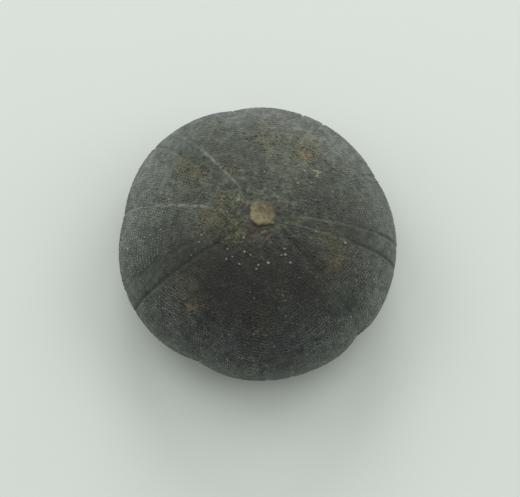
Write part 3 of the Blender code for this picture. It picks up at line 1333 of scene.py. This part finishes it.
@dataclass
class TestSkin:
    """The test itself: one closed skin with its furrows, valleys, plug and filled mouth.

    The crowding says at which of a sector's columns each stretch between suture, furrows and next
    suture starts. The shoulders and the creases are half of the stretches over a furrow or a suture.
    """

    form: TestForm
    weathering: Weathering
    columns: int = 480
    rings: int = 200
    crown_rings: int = 66
    dome_rings: int = 96
    crown_reach: float = 7.5 * MM
    waviness: float = 0.05 * MM
    roughness: float = 0.02 * MM
    highlight_width: float = 0.21 * MM
    highlight_start: float = 1.5 * MM
    highlight_fade: float = 4.0 * MM
    shade_least: float = 0.45
    shade_rise: float = 0.55
    shade_shares: tuple[float, float] = (0.7, 0.92)
    pale_side: float = 232.0
    lump_height: float = 0.07 * MM
    lump_grain: float = 0.8 * MM
    lump_reach: float = 4.5 * MM
    plug_pits: float = 0.07 * MM
    crowding: tuple[int, ...] = (0, 4, 34, 43, 53, 62, 92, 96)
    shoulder: float = 0.62 * MM
    shoulder_share: float = 0.45
    crease: float = 0.5 * MM
    widest_crease: float = 6.0

    def ring_arcs(self) -> Array:
        """Arcs of the rings: close together around the plug, wider on the dome and underneath.

        Returns:
            One arc for each ring, with the poles first and last.
        """
        crown = np.linspace(0.0, self.crown_reach, self.crown_rings + 1)
        dome = np.linspace(self.crown_reach, self.form.ambitus_arc, self.dome_rings + 1)
        left = self.rings - self.crown_rings - self.dome_rings
        dish = np.linspace(self.form.ambitus_arc, self.form.arcs[-1], left + 1)
        return np.concatenate((crown, dome[1:], dish[1:]))

    def column_azimuths(self, column: Array, radius: Array) -> Array:
        """Azimuths of the columns, which crowd together in the furrows and at the sutures.

        Args:
            column: Numbers of the columns.
            radius: The plain radius at each.

        Returns:
            Azimuths in degrees.
        """
        per_sector = self.columns // len(SECTORS)
        half = self.form.half_angle(radius)
        safe = np.maximum(radius, 0.1 * MM)
        shoulder = np.minimum(np.degrees(self.shoulder / safe), self.shoulder_share * half)
        crease = np.minimum(np.degrees(self.crease / safe), self.widest_crease)
        azimuth = np.zeros_like(radius)
        for index, sector in enumerate(SECTORS):
            following = SECTORS[(index + 1) % len(SECTORS)]
            band = turn_between(sector.band_azimuth, sector.valley_azimuth)
            end = turn_between(following.valley_azimuth, sector.valley_azimuth) % 360.0
            low, high = band - half, band + half
            turns = (0.0, crease, low - shoulder, low + shoulder, high - shoulder, high + shoulder)
            anchors = tuple(zip(self.crowding, (*turns, end - crease, end)))
            place = column - index * per_sector
            for (start, first), (stop, last) in zip(anchors, anchors[1:]):
                inside = (place >= start) & (place < stop)
                share = (place - start) / (stop - start)
                turned = sector.valley_azimuth + first + share * (last - first)
                azimuth = np.where(inside, turned, azimuth)
        return azimuth

    def relief(self, places: Array, azimuth: Array, arc: Array) -> Array:
        """Fine relief of the stone between the tubercles.

        Args:
            places: Positions on the test, one row each.
            azimuth: Azimuths in degrees.
            arc: Arcs in metres.

        Returns:
            Heights in metres, never above the test's surface.
        """
        bare = np.maximum(self.form.plug_share(azimuth, arc), self.form.mouth_share(arc))
        lift = -self.form.tubercle_height * (1.0 - bare)
        slow = fractal(places, grain=3.5 * MM, octaves=3, seed=5.0)
        fine = fractal(places, grain=0.9 * MM, octaves=3, seed=17.0)
        lift -= self.waviness * (0.5 + 0.5 * slow) + self.roughness * (0.5 + fine)
        pits = np.clip(0.6 + fractal(places, grain=1.0 * MM, octaves=3, seed=41.0), 0.0, 1.5)
        lift -= self.form.plug_share(azimuth, arc) * self.plug_pits * pits
        return lift + self.lump_height * self.lumps(places, azimuth, arc)

    def lumps(self, places: Array, azimuth: Array, arc: Array) -> Array:
        """Where hardened mud sits on the stone: in small clots around the plug.

        Args:
            places: Positions on the test, one row each.
            azimuth: Azimuths in degrees.
            arc: Arcs in metres.

        Returns:
            Shares between -0.5 and 1.
        """
        crust = 1.0 - smooth_step(self.lump_reach, 2.2 * self.lump_reach, arc)
        crust *= 1.0 - self.form.plug_share(azimuth, arc)
        clots = fractal(places, self.lump_grain, octaves=2, seed=131.0)
        return crust * np.clip(1.6 * clots, -0.5, 1.0)

    def build(self, material: bpy.types.Material) -> bpy.types.Object:
        """Build the skin.

        Args:
            material: Its finish.

        Returns:
            The finished piece.
        """
        body = bmesh.new()
        bmesh.ops.create_uvsphere(body, u_segments=self.columns, v_segments=self.rings, radius=1.0)
        mesh = mesh_from("urchin_test", body)
        ball = read_values(mesh.vertices, "co", float, 3)
        turn = np.degrees(np.arctan2(ball[:, 1], ball[:, 0])) % 360.0
        column = np.rint(turn * self.columns / 360.0).astype(int) % self.columns
        ring = np.rint(np.arccos(np.clip(ball[:, 2], -1.0, 1.0)) * self.rings / math.pi).astype(int)
        arc = self.ring_arcs()[ring]
        radius = self.form.radius_at(arc)
        azimuth = self.column_azimuths(column, radius)
        places = self.form.place(azimuth, arc)
        lift = self.relief(places, azimuth, arc)
        places = self.form.place(azimuth, arc, lift)
        mesh.vertices.foreach_set("co", places.astype(np.float32).ravel())
        self.write_masks(mesh, azimuth, arc, radius)
        write_attribute(mesh, "lump", self.lumps(places, azimuth, arc))
        self.weathering.apply(mesh, azimuth, arc, places)
        self.write_bake_map(mesh, column, arc)
        mesh.materials.append(material)
        mesh.update()
        mesh.shade_smooth()
        return link_piece(mesh)

    def write_masks(self, mesh: bpy.types.Mesh, azimuth: Array, arc: Array, radius: Array) -> None:
        """Write the painted shade and the painted highlight along the grooves, and where the plug is.

        Args:
            mesh: The skin's mesh.
            azimuth: Azimuths in degrees, one for each vertex.
            arc: Arcs in metres.
            radius: Plain radii in metres.
        """
        shade = np.zeros_like(arc)
        fill = np.zeros_like(arc)
        above = arc <= self.form.ambitus_arc
        low, high = (share * self.form.radius for share in self.shade_shares)
        rim = self.shade_least + self.shade_rise * smooth_step(low, high, radius)
        for groove, distance in self.form.grooves(azimuth, radius):
            starts = smooth_step(groove.start, groove.start + self.highlight_start, radius)
            fades = smooth_step(groove.end, groove.end - self.highlight_fade, radius)
            ends = np.where(above, fades, 0.0)
            # Painted shade in each groove, strongest towards the side.
            shade = np.maximum(shade, groove.shade * rim * bell(distance, groove.width))
            # Painted highlight along each groove, for its lit wall.
            fill = np.maximum(fill, groove.fill * starts * ends * bell(distance, self.highlight_width))
        write_attribute(mesh, "shade", shade * self.form.furrow_fade(arc))
        write_attribute(mesh, "fill", fill)
        plug = self.form.plug_share(azimuth, arc)
        write_attribute(mesh, "plug", plug)
        lean = np.cos(np.radians(azimuth - self.pale_side)) * radius / self.form.plug_radius
        write_attribute(mesh, "pale", np.clip(0.5 + 0.5 * lean, 0.0, 1.0) * plug)

    def write_bake_map(self, mesh: bpy.types.Mesh, column: Array, arc: Array) -> None:
        """Unroll the skin: azimuth runs across the map and the arc runs down it.

        Args:
            mesh: The skin's mesh.
            column: Column number of each vertex.
            arc: Arc of each vertex in metres.
        """
        layer = mesh.uv_layers.new(name=BAKE_MAP)
        corner = read_values(mesh.loops, "vertex_index", np.int32)
        total = read_values(mesh.polygons, "loop_total", np.int32)
        face = np.repeat(np.arange(len(total)), total)
        across = column[corner].astype(float)
        at_pole = (arc[corner] <= 0.0) | (arc[corner] >= self.form.arcs[-1])
        low = np.full(len(total), float(self.columns))
        high = np.zeros(len(total))
        np.minimum.at(low, face[~at_pole], across[~at_pole])
        np.maximum.at(high, face[~at_pole], across[~at_pole])
        wraps = (high - low) > 0.5 * self.columns
        across = np.where(wraps[face] & (across < 0.5 * self.columns), across + self.columns, across)
        middle = np.where(wraps, self.columns - 0.5, 0.5 * (low + high))
        across = np.where(at_pole, middle[face], across)
        spread = np.stack((across / self.columns, 1.0 - arc[corner] / self.form.arcs[-1]), axis=-1)
        margin = 0.002
        spread = margin + (1.0 - 2.0 * margin) * spread
        layer.data.foreach_set("uv", spread.astype(np.float32).ravel())


def link_piece(mesh: bpy.types.Mesh) -> bpy.types.Object:
    """Put a mesh in the scene as a piece of the fossil.

    Args:
        mesh: The mesh, already in its place.

    Returns:
        Its object, which rides on the fossil.
    """
    piece = add_object(mesh.name, mesh)
    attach(piece, BODY)
    LOG.info("%s: %d faces", piece.name, len(mesh.polygons))
    return piece


@dataclass
class Seeds:
    """Places for one kind of small shape, with the shape's size and tone at each."""

    azimuth: Array
    arc: Array
    width: Array
    height: Array
    tone: Array

    def columns(self) -> tuple[Array, ...]:
        """The seeds' values, in the order in which they are declared."""
        return self.azimuth, self.arc, self.width, self.height, self.tone

    def only(self, keep: Array) -> "Seeds":
        """The seeds where keep is true."""
        return Seeds(*(column[keep] for column in self.columns()))

    @staticmethod
    def joined(parts: list["Seeds"]) -> "Seeds":
        """Several lots of seeds together."""
        return Seeds(*map(np.concatenate, zip(*(part.columns() for part in parts))))


@dataclass
class Scatter:
    """Puts copies of a small shape on the test and joins them into one mesh."""

    form: TestForm
    weathering: Weathering

    def instancing(self, pattern: bpy.types.Object) -> bpy.types.NodeTree:
        """Build the geometry nodes that copy a shape to points and realize the copies.

        Args:
            pattern: The shape's object.

        Returns:
            The node tree.
        """
        tree = bpy.data.node_groups.new(f"copies_of_{pattern.name}", "GeometryNodeTree")
        tree.interface.new_socket("Geometry", in_out="INPUT", socket_type="NodeSocketGeometry")
        tree.interface.new_socket("Geometry", in_out="OUTPUT", socket_type="NodeSocketGeometry")
        bench = Bench(tree)
        given = bench.node("NodeGroupInput")
        shape = bench.node("GeometryNodeObjectInfo", Object=pattern)
        copies = bench.node(
            "GeometryNodeInstanceOnPoints",
            Points=given.outputs[0],
            Instance=shape.outputs["Geometry"],
            Rotation=self.vector_attribute(bench, "turned"),
            Scale=self.vector_attribute(bench, "scaled"),
        )
        joined = bench.node("GeometryNodeRealizeInstances", Geometry=copies.outputs["Instances"])
        bench.node("NodeGroupOutput", Geometry=joined.outputs[0])
        return tree

    @staticmethod
    def vector_attribute(bench: Bench, name: str) -> bpy.types.NodeSocket:
        """Read a vector attribute in a geometry tree."""
        made = bench.node("GeometryNodeInputNamedAttribute", {"data_type": "FLOAT_VECTOR"}, Name=name)
        return made.outputs["Attribute"]

    def points(self, name: str, seeds: Seeds, lift: float) -> bpy.types.Object:
        """Make the points that carry the copies.

        Args:
            name: The mesh's name.
            seeds: Where the copies go.
            lift: Height of the copies' base over the test's surface.

        Returns:
            An object whose vertices are the points.
        """
        places = self.form.place(seeds.azimuth, seeds.arc, lift)
        around, down, out = self.form.facing(seeds.azimuth, seeds.arc)
        cloud = bmesh.new()
        for place in places:
            cloud.verts.new(place)
        mesh = mesh_from(f"{name}_points", cloud)
        turned = [Matrix(axes).transposed().to_euler() for axes in zip(around, down, out)]
        scale = np.stack((seeds.width, seeds.width, seeds.height), axis=-1)
        write_attribute(mesh, "turned", np.array([tuple(turn) for turn in turned]))
        write_attribute(mesh, "scaled", scale)
        write_attribute(mesh, "tone", seeds.tone)
        write_attribute(mesh, "cell", self.cells(len(places)))
        self.weathering.apply(mesh, seeds.azimuth, seeds.arc, places)
        return add_object(mesh.name, mesh)

    @staticmethod
    def cells(count: int) -> Array:
        """Share a bake map out among copies.

        Args:
            count: How many copies there are.

        Returns:
            The middle of each copy's square and its half width.
        """
        side = math.ceil(math.sqrt(count))
        index = np.arange(count)
        across, up = (index % side + 0.5) / side, (index // side + 0.5) / side
        return np.stack((across, up, np.full(count, 0.44 / side)), axis=-1)

    def join(
        self,
        name: str,
        pattern: bpy.types.Object,
        seeds: Seeds,
        lift: float,
        material: bpy.types.Material,
    ) -> bpy.types.Object:
        """Copy a shape to every seed and join the copies.

        Args:
            name: The piece's name.
            pattern: The shape's object, 1 wide in radius and 1 high.
            seeds: Where the copies go.
            lift: Height of the copies' base over the test's surface.
            material: Their finish.

        Returns:
            The finished piece.
        """
        holder = self.points(name, seeds, lift)
        copier = holder.modifiers.new("copies", "NODES")
        copier.node_group = self.instancing(pattern)
        graph = bpy.context.evaluated_depsgraph_get()
        mesh = bpy.data.meshes.new_from_object(holder.evaluated_get(graph), depsgraph=graph)
        mesh.name = name
        bpy.data.meshes.remove(holder.data)
        layers = (mesh.attributes[each].data for each in ("cell", "flat"))
        cell, flat = (read_values(each, "vector", np.float32, 3) for each in layers)
        corner = read_values(mesh.loops, "vertex_index", np.int32)
        spread = (cell[:, :2] + flat[:, :2] * cell[:, 2:])[corner]
        layer = mesh.uv_layers.new(name=BAKE_MAP)
        layer.data.foreach_set("uv", spread.astype(np.float32).ravel())
        for spare in ("cell", "flat", "turned", "scaled"):
            if spare in mesh.attributes:
                mesh.attributes.remove(mesh.attributes[spare])
        mesh.materials.clear()
        mesh.materials.append(material)
        mesh.shade_smooth()
        return link_piece(mesh)


def finish_pattern(name: str, body: bmesh.types.BMesh) -> bpy.types.Object:
    """Turn a small shape into the pattern that a scatter copies.

    Args:
        name: The pattern's name.
        body: The shape, standing on Z = 0 around the origin, which is freed.

    Returns:
        The pattern's object.
    """
    mesh = mesh_from(name, body)
    corners = read_values(mesh.vertices, "co", float, 3)
    write_attribute(mesh, "crown", np.clip(corners[:, 2], 0.0, 1.0))
    write_attribute(mesh, "flat", corners)
    return add_object(name, mesh)


@dataclass(frozen=True)
class Rows:
    """How one size of tubercle is laid out between two ambulacra.

    The pitch is the distance between rows, the gap the distance within a row, the slope how far a
    row falls on its way to the ambulacra, and the shift where the first row lies, in pitches.
    """

    radius: float
    height: float
    pitch: float
    gap: float
    slope: float
    shift: float
    jitter: float
    missing: float
    margin: float = 0.26 * MM

    def coarser(self, factor: float) -> "Rows":
        """The same rows with everything but their slope and shift larger."""
        sizes = {name: factor * getattr(self, name) for name in ("radius", "height", "pitch", "gap")}
        return replace(self, **sizes)


@dataclass
class TubercleCover:
    """The fine tubercles: five fields of rows between the ambulacra, and a few on the bands.

    The crisp back and sides are each how much fresher the tubercles are there, the azimuth and the
    angle. The sides are fresh only at their foot.
    """

    form: TestForm
    weathering: Weathering
    scatter: Scatter
    sides: int = 7
    start: float = 2.5 * MM
    mouth_gap: float = 5.4 * MM
    scattered: float = 7.0 * MM
    bend: float = 0.16 * MM
    loosening: float = 3.0
    field_width: float = 12.0 * MM
    field_angle: float = 60.0
    band_width: float = 2.2 * MM
    scales: tuple[float, float] = (0.72, 1.16)
    least_tone: float = 0.10
    tone_spread: float = 0.55
    large_chance: float = 0.985
    large_scale: float = 1.25
    large_tone: float = 0.85
    crown_scale: float = 0.4
    crown_flatness: float = 0.35
    crown_tone: float = 0.5
    crown_missing: float = 0.45
    worn_height: float = 0.55
    worn_tone: float = 0.8
    patchiness: float = 1.6
    rest_height: float = 0.14 * MM
    crisp_share: float = 0.46
    crisp_reach: tuple[float, float] = (12.0 * MM, 17.0 * MM)
    crisp_back: tuple[float, float, float] = (-0.04, 90.0, 40.0)
    crisp_sides: tuple[tuple[float, float, float], ...] = (
        (0.72, 262.0, 85.0), (0.5, 222.0, 18.0), (0.4, 328.0, 16.0),
    )
    rows: tuple[Rows, ...] = (
        Rows(0.162 * MM, 0.10 * MM, 0.86 * MM, 0.37 * MM, 0.20, 0.0, 0.045 * MM, 0.07),
        Rows(0.146 * MM, 0.09 * MM, 0.86 * MM, 0.35 * MM, 0.20, 0.5, 0.045 * MM, 0.10),
    )
    band_row: Rows = Rows(0.105 * MM, 0.06 * MM, 0.42 * MM, 0.33 * MM, 0.12, 0.0, 0.05 * MM, 0.2, 0.2 * MM)

    def pattern(self) -> bpy.types.Object:
        """Model one tubercle: a low dome with a closed base.

        Returns:
            The pattern's object.
        """
        body = bmesh.new()
        bmesh.ops.create_uvsphere(body, u_segments=self.sides, v_segments=4, radius=1.0)
        low = [vert for vert in body.verts if vert.co.z < -0.1]
        bmesh.ops.delete(body, geom=low, context="VERTS")
        rim = [edge for edge in body.edges if edge.is_boundary]
        bmesh.ops.contextual_create(body, geom=rim)
        bmesh.ops.recalc_face_normals(body, faces=body.faces)
        return finish_pattern("tubercle", body)

    def lay_rows(self, rows: Rows, middle: float, width: float, dice: np.random.Generator) -> Seeds:
        """Lay rows across a strip that runs from the apex to the mouth.

        Args:
            rows: How they are laid out.
            middle: Azimuth of the strip's middle in degrees.
            width: Half of the strip's greatest width in metres.
            dice: Source of chance.

        Returns:
            The tubercles' places.
        """
        end = self.form.arcs[-1] - self.mouth_gap
        row_arcs = np.arange(self.start - width * rows.slope, end, rows.pitch)
        half = math.ceil(width / rows.gap)
        steps = np.arange(-half, half + 1)
        row, step = (grid.ravel() for grid in np.meshgrid(np.arange(len(row_arcs)), steps))
        arc = row_arcs[row] + rows.shift * rows.pitch
        sideways = (step + 0.5 * (row % 2)) * rows.gap
        near_apex = smooth_step(1.3 * self.scattered, 0.6 * self.scattered, arc)
        loose = rows.jitter * (1.0 + self.loosening * near_apex)
        sideways = sideways + dice.normal(size=row.size) * loose
        wander = np.sin(sideways / (2.1 * MM) + 0.9 * arc / MM)
        wander = wander + np.sin(sideways / (0.8 * MM) + 2.0 * middle)
        arc = arc + rows.slope * np.abs(sideways) + dice.normal(size=row.size) * loose
        arc = arc + 0.5 * self.bend * wander * smooth_step(0.0, 4.0 * MM, np.abs(sideways))
        azimuth = middle + np.degrees(sideways / np.maximum(self.form.radius_at(arc), 1.0 * MM))
        chance = dice.random(row.size)
        crown = smooth_step(1.2 * self.scattered, 0.5 * self.scattered, arc)
        scale = dice.uniform(*self.scales, row.size) * (1.0 + self.crown_scale * crown)
        crisp = self.crispness(azimuth, self.form.radius_at(arc))
        tone = self.least_tone + self.tone_spread * dice.random(row.size)
        tone = tone * (1.0 - self.crown_tone * crown) * crisp
        large = chance > self.large_chance
        scale = np.where(large, self.large_scale * scale, scale)
        tone = np.where(large, self.large_tone * crisp, tone)
        height = rows.height * scale * (1.0 - self.crown_flatness * crown) * (0.7 + 0.3 * crisp)
        seeds = Seeds(azimuth, arc, rows.radius * scale, height, tone)
        keep = (arc > self.start) & (arc < end) & (chance > rows.missing + self.crown_missing * crown)
        return seeds.only(keep & (np.abs(azimuth - middle) < self.field_angle))

    def crispness(self, azimuth: Array, radius: Array) -> Array:
        """How fresh the tubercles look: most at the foot of the front side.

        Args:
            azimuth: Azimuths in degrees.
            radius: Plain radii in metres.

        Returns:
            Shares, 1 for ordinary ones.
        """
        foot = sum(
            share * bell(turn_between(azimuth, middle), angle)
            for share, middle, angle in self.crisp_sides
        )
        share, middle, angle = self.crisp_back
        back = share * bell(turn_between(azimuth, middle), angle)
        return self.crisp_share + back + foot * smooth_step(*self.crisp_reach, radius)

    def weather(self, seeds: Seeds) -> Seeds:
        """Rub the tubercles down where the test is worn, and clear the ring that it rests on.

        Args:
            seeds: Fresh tubercles.

        Returns:
            The weathered ones.
        """
        places = self.form.place(seeds.azimuth, seeds.arc)
        wear = self.weathering.wear(places)
        seeds.height = seeds.height * (1.0 - self.worn_height * wear)
        crisp = self.crispness(seeds.azimuth, self.form.radius_at(seeds.arc))
        uneven = fractal(places, grain=0.9 * MM, octaves=2, seed=47.0)
        patches = (0.4 + np.clip(crisp - 0.6, 0.0, 1.0)) * uneven
        patches = np.clip(1.0 + self.patchiness * patches, 0.2, 2.2)
        seeds.tone = seeds.tone * (1.0 - self.worn_tone * wear) * patches
        return seeds.only(places[:, 2] > self.rest_height)

    def between_bands(self, index: int, dice: np.random.Generator) -> Seeds:
        """Lay out one field, whose rows bend down from its suture to both ambulacra.

        Args:
            index: Number of the sector whose suture runs up the field's middle.
            dice: Source of chance.

        Returns:
            The tubercles' places.
        """
        sector, before = SECTORS[index], SECTORS[index - 1]
        lots = []
        for rows in (each.coarser(sector.coarseness) for each in self.rows):
            fresh = self.lay_rows(rows, sector.valley_azimuth, self.field_width, dice)
            radius = self.form.radius_at(fresh.arc)
            high = self.form.from_furrow(sector, 0, fresh.azimuth, radius)
            low = self.form.from_furrow(before, 1, fresh.azimuth, radius)
            crease = np.abs(self.form.from_suture(sector, fresh.azimuth, radius))
            clear = (high > rows.margin) & (low > rows.margin) & (crease > 0.8 * rows.radius)
            lots.append(fresh.only(clear))
        return self.weather(Seeds.joined(lots))

    def on_band(self, index: int, dice: np.random.Generator) -> Seeds:
        """Lay out the sparse small tubercles of one ambulacrum.

        Args:
            index: Number of the sector.
            dice: Source of chance.

        Returns:
            The tubercles' places.
        """
        sector = SECTORS[index]
        rows = self.band_row
        if sector.band_tint < 0.5:
            rows = replace(rows, radius=1.3 * rows.radius, missing=0.3 * rows.missing)
        seeds = self.lay_rows(rows, sector.band_azimuth, self.band_width, dice)
        radius = self.form.radius_at(seeds.arc)
        low = self.form.from_furrow(sector, 0, seeds.azimuth, radius)
        high = self.form.from_furrow(sector, 1, seeds.azimuth, radius)
        seeds = seeds.only(np.maximum(low, high) < -self.band_row.margin)
        seeds.tone = 0.5 * seeds.tone
        return self.weather(seeds)

    def build(self, material: bpy.types.Material) -> list[bpy.types.Object]:
        """Build every field of tubercles.

        Args:
            material: Their finish.

        Returns:
            The finished pieces.
        """
        pattern = self.pattern()
        dice = np.random.default_rng(11)
        lift = -1.3 * self.form.tubercle_height
        pieces, bands = [], []
        for index, sector in enumerate(SECTORS):
            seeds = self.between_bands(index, dice)
            name = f"tubercles_{sector.name}"
            pieces.append(self.scatter.join(name, pattern, seeds, lift, material))
            bands.append(self.on_band(index, dice))
        sparse = Seeds.joined(bands)
        pieces.append(self.scatter.join("tubercles_on_bands", pattern, sparse, lift, material))
        bpy.data.objects.remove(pattern)
        return pieces


@dataclass
class Crumbs:
    """Loose crumbs of one kind: copies of one uneven shape, from the smallest size to the largest."""

    form: TestForm
    scatter: Scatter
    name: str
    seed: int
    smallest: float
    largest: float
    depth: float

    def sow(self, dice: np.random.Generator) -> Seeds:
        """Choose where the crumbs lie. Each kind of crumb has its own way."""
        raise NotImplementedError

    def widths(self, count: int, dice: np.random.Generator) -> Array:
        """Sizes of crumbs in metres, most of them near the smallest."""
        return self.smallest + (self.largest - self.smallest) * dice.random(count) ** 2

    def build(self, material: bpy.types.Material) -> bpy.types.Object:
        """Build the crumbs.

        Args:
            material: Their finish.

        Returns:
            The finished piece.
        """
        dice = np.random.default_rng(self.seed)
        body = bmesh.new()
        bmesh.ops.create_icosphere(body, subdivisions=1, radius=1.0)
        for vert in body.verts:
            vert.co *= dice.uniform(0.75, 1.1)
        pattern = finish_pattern("crumb", body)
        piece = self.scatter.join(self.name, pattern, self.sow(dice), -self.depth, material)
        bpy.data.objects.remove(pattern)
        return piece


@dataclass
class PaleGrains(Crumbs):
    """Crumbs of pale crystal: the ones that catch the eye, and fine ones all over.

    Each placed one is an azimuth in degrees, and a plain radius and a size in millimetres.
    """

    name: str = "pale_grains"
    seed: int = 23
    smallest: float = 0.06 * MM
    largest: float = 0.16 * MM
    depth: float = 0.08 * MM
    flatness: float = 0.45
    scattered: int = 460
    reach: float = 19.5 * MM
    placed: tuple[tuple[float, float, float], ...] = (
        (225.8, 7.11, 0.18), (245.5, 6.07, 0.23), (235.8, 7.53, 0.17), (232, 8.27, 0.19),
        (266.2, 7.39, 0.17), (264.5, 7.95, 0.2), (277.2, 7.11, 0.21), (302, 5.93, 0.19), (299.2, 6.7, 0.23),
        (300, 8, 0.21), (343, 8.14, 0.17), (343.5, 12.58, 0.22), (333, 12.99, 0.14), (42.5, 10.8, 0.2),
        (39.5, 11.35, 0.17), (266.8, 16.41, 0.15), (100, 12.28, 0.16), (355.2, 9.34, 0.14),
        (65.5, 4.29, 0.14), (165.5, 14, 0.17), (198, 9.14, 0.16), (284, 14.43, 0.15), (315, 18.87, 0.15),
        (147.2, 4.01, 0.2), (319, 2.05, 0.22), (203, 9.8, 0.13), (57, 9.2, 0.13), (232.8, 4.4, 0.17),
        (43.5, 7.3, 0.19), (66.8, 8.7, 0.18), (35.8, 9, 0.17), (36.8, 8.3, 0.16), (48.5, 9.5, 0.16),
        (38, 13.7, 0.16), (35.2, 13.2, 0.15), (21.5, 11.3, 0.15), (17.8, 8.2, 0.15), (87, 6.6, 0.15),
        (48.5, 3.6, 0.15), (294.8, 6.5, 0.15), (246, 7.9, 0.14), (254.5, 6.2, 0.14),
    )

    def sow(self, dice: np.random.Generator) -> Seeds:
        """Put the placed grains first, then scatter the others.

        Args:
            dice: Source of chance.

        Returns:
            The grains' places.
        """
        count = self.scattered
        azimuth, radius, width = np.array(self.placed).T
        far = self.reach * np.sqrt(dice.uniform(0.02, 1.0, count))
        azimuth = np.concatenate((azimuth, dice.uniform(0.0, 360.0, count)))
        radius = np.concatenate((radius * MM, far))
        width = np.concatenate((1.3 * width * MM, self.widths(count, dice)))
        bright = dice.uniform(0.42, 0.58, len(self.placed))
        tone = np.concatenate((bright, 0.6 * dice.random(count) ** 2))
        return Seeds(azimuth, self.form.dome_arc(radius), width, self.flatness * width, tone)


@dataclass
class MudCrumbs(Crumbs):
    """Crumbs of dried mud, thickest in the middle of each crusted stain."""

    name: str = "mud_crumbs"
    seed: int = 37
    smallest: float = 0.07 * MM
    largest: float = 0.20 * MM
    depth: float = 0.07 * MM
    flatness: float = 0.5
    kinds: tuple[Stain, ...] = (Stain.OLIVE, Stain.SAND, Stain.RUST, Stain.UMBER)
    density: float = 14.0
    off_plug: float = 0.4 * MM

    def sow(self, dice: np.random.Generator) -> Seeds:
        """Strew crumbs on each crusted stain.

        Args:
            dice: Source of chance.

        Returns:
            The crumbs' places.
        """
        azimuths, radii = [], []
        for spot in (each for each in SPOTS if each.stain in self.kinds):
            count = round(self.density * spot.strength * min(spot.size / MM, 2.5) ** 2)
            shift = dice.normal(size=(2, count)) * 0.6 * spot.size
            azimuths.append(spot.azimuth + np.degrees(shift[0] / spot.radius))
            radii.append(np.clip(spot.radius + shift[1], 0.1 * MM, 20.5 * MM))
        azimuth, radius = np.concatenate(azimuths), np.concatenate(radii)
        width = self.widths(len(radius), dice)
        tone = dice.random(len(radius)) ** 2
        seeds = Seeds(azimuth, self.form.dome_arc(radius), width, self.flatness * width, tone)
        return seeds.only(self.form.beyond_plug(azimuth, radius) > self.off_plug)


@dataclass(frozen=True)
class Lamp:
    """A soft round light that faces the fossil: its place and its size in metres, its power in watts."""

    name: str
    place: tuple[float, float, float]
    size: float
    power: float

    def hang(self) -> None:
        """Put the light in the scene."""
        lamp = bpy.data.lights.new(self.name, "AREA")
        lamp.shape = "DISK"
        lamp.size = self.size
        lamp.energy = self.power
        holder = add_object(self.name, lamp)
        holder.location = self.place
        holder.rotation_euler = (-Vector(self.place)).to_track_quat("-Z", "Y").to_euler()


@dataclass
class Studio:
    """The pale floor, the soft lights and the camera."""

    elevation: float = 72.0
    distance: float = 250.0 * MM
    aim: tuple[float, float, float] = (0.352 * MM, -1.009 * MM, 7.66 * MM)
    focal_pixels: float = 1675.4
    image_width: float = 520.0
    sensor: float = 36.0
    floor_size: float = 1.2
    sky: Colour = (0.80, 0.84, 0.80)
    sky_strength: float = 0.40
    lamps: tuple[Lamp, ...] = (
        Lamp("overhead", (0.0, 0.0, 0.80), 0.8, 0.88),
        Lamp("low_back", (0.0, 0.72, 0.34), 0.4, 2.20),
        Lamp("left", (-0.61, 0.0, 0.51), 0.5, 0.59),
        Lamp("right", (0.61, 0.0, 0.51), 0.5, 0.93),
        Lamp("back_left", (-0.43, 0.43, 0.51), 0.5, 1.30),
        Lamp("back_right", (0.43, 0.43, 0.51), 0.5, 1.34),
    )

    def build(self) -> None:
        """Set up the whole studio."""
        self.lay_floor()
        self.light()
        self.place_camera()
        bpy.context.scene.view_settings.view_transform = "Standard"

    def lay_floor(self) -> None:
        """Lay the floor under the fossil."""
        sheet = bmesh.new()
        bmesh.ops.create_grid(sheet, x_segments=2, y_segments=2, size=0.5 * self.floor_size)
        mesh = mesh_from("floor", sheet)
        mesh.materials.append(FloorFinish().build())
        floor = add_object("floor", mesh)

    def light(self) -> None:
        """Light the fossil from overhead, from low behind it and from its sides."""
        for lamp in self.lamps:
            lamp.hang()
        world = bpy.data.worlds.new("soft_sky")
        world.use_nodes = True
        shade = world.node_tree.nodes["Background"]
        shade.inputs["Color"].default_value = (*self.sky, 1.0)
        shade.inputs["Strength"].default_value = self.sky_strength
        bpy.context.scene.world = world

    def place_camera(self) -> None:
        """Place the camera in front of the fossil, looking steeply down on it."""
        lens = bpy.data.cameras.new("camera")
        lens.sensor_width = self.sensor
        lens.lens = self.focal_pixels * self.sensor / self.image_width
        lens.clip_start = 10.0 * MM
        holder = add_object("camera", lens)
        tilt = math.radians(self.elevation)
        back = Vector((0.0, -math.cos(tilt), math.sin(tilt)))
        holder.location = Vector(self.aim) + self.distance * back
        holder.rotation_euler = (math.radians(90.0 - self.elevation), 0.0, 0.0)
        bpy.context.scene.camera = holder


def main() -> None:
    """Dress the fossil, set up the studio and note the sizes."""
    logging.basicConfig(level=logging.INFO, format="%(name)s: %(message)s")
    form = TestForm()
    weathering = Weathering(form)
    effects = StoneEffects()
    # The stone colours are set light and the darker top brings the middle down again, so that the side
    # reads lighter: painted rim light.
    ground = GroundFinish("stone_ground", (0.0400, 0.0472, 0.0409), (0.1100, 0.1285, 0.1102), 0.7)
    crowns = TubercleFinish("stone_tubercles", (0.0845, 0.0985, 0.0850), (0.1825, 0.2105, 0.1805), 0.6)
    crystal = GrainFinish("pale_crystal", (0.20, 0.20, 0.165), (0.40, 0.40, 0.35), 0.5)
    mud = MudFinish("dried_mud", (0.034, 0.039, 0.032), (0.090, 0.100, 0.082), 0.8)
    skin = TestSkin(form, weathering).build(ground.build(effects))
    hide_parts(CAD_NODE)
    scatter = Scatter(form, weathering)
    TubercleCover(form, weathering, scatter).build(crowns.build(effects))
    PaleGrains(form, scatter).build(crystal.build(effects))
    MudCrumbs(form, scatter).build(mud.build(effects))
    Studio().build()


if __name__ == "__main__":
    main()
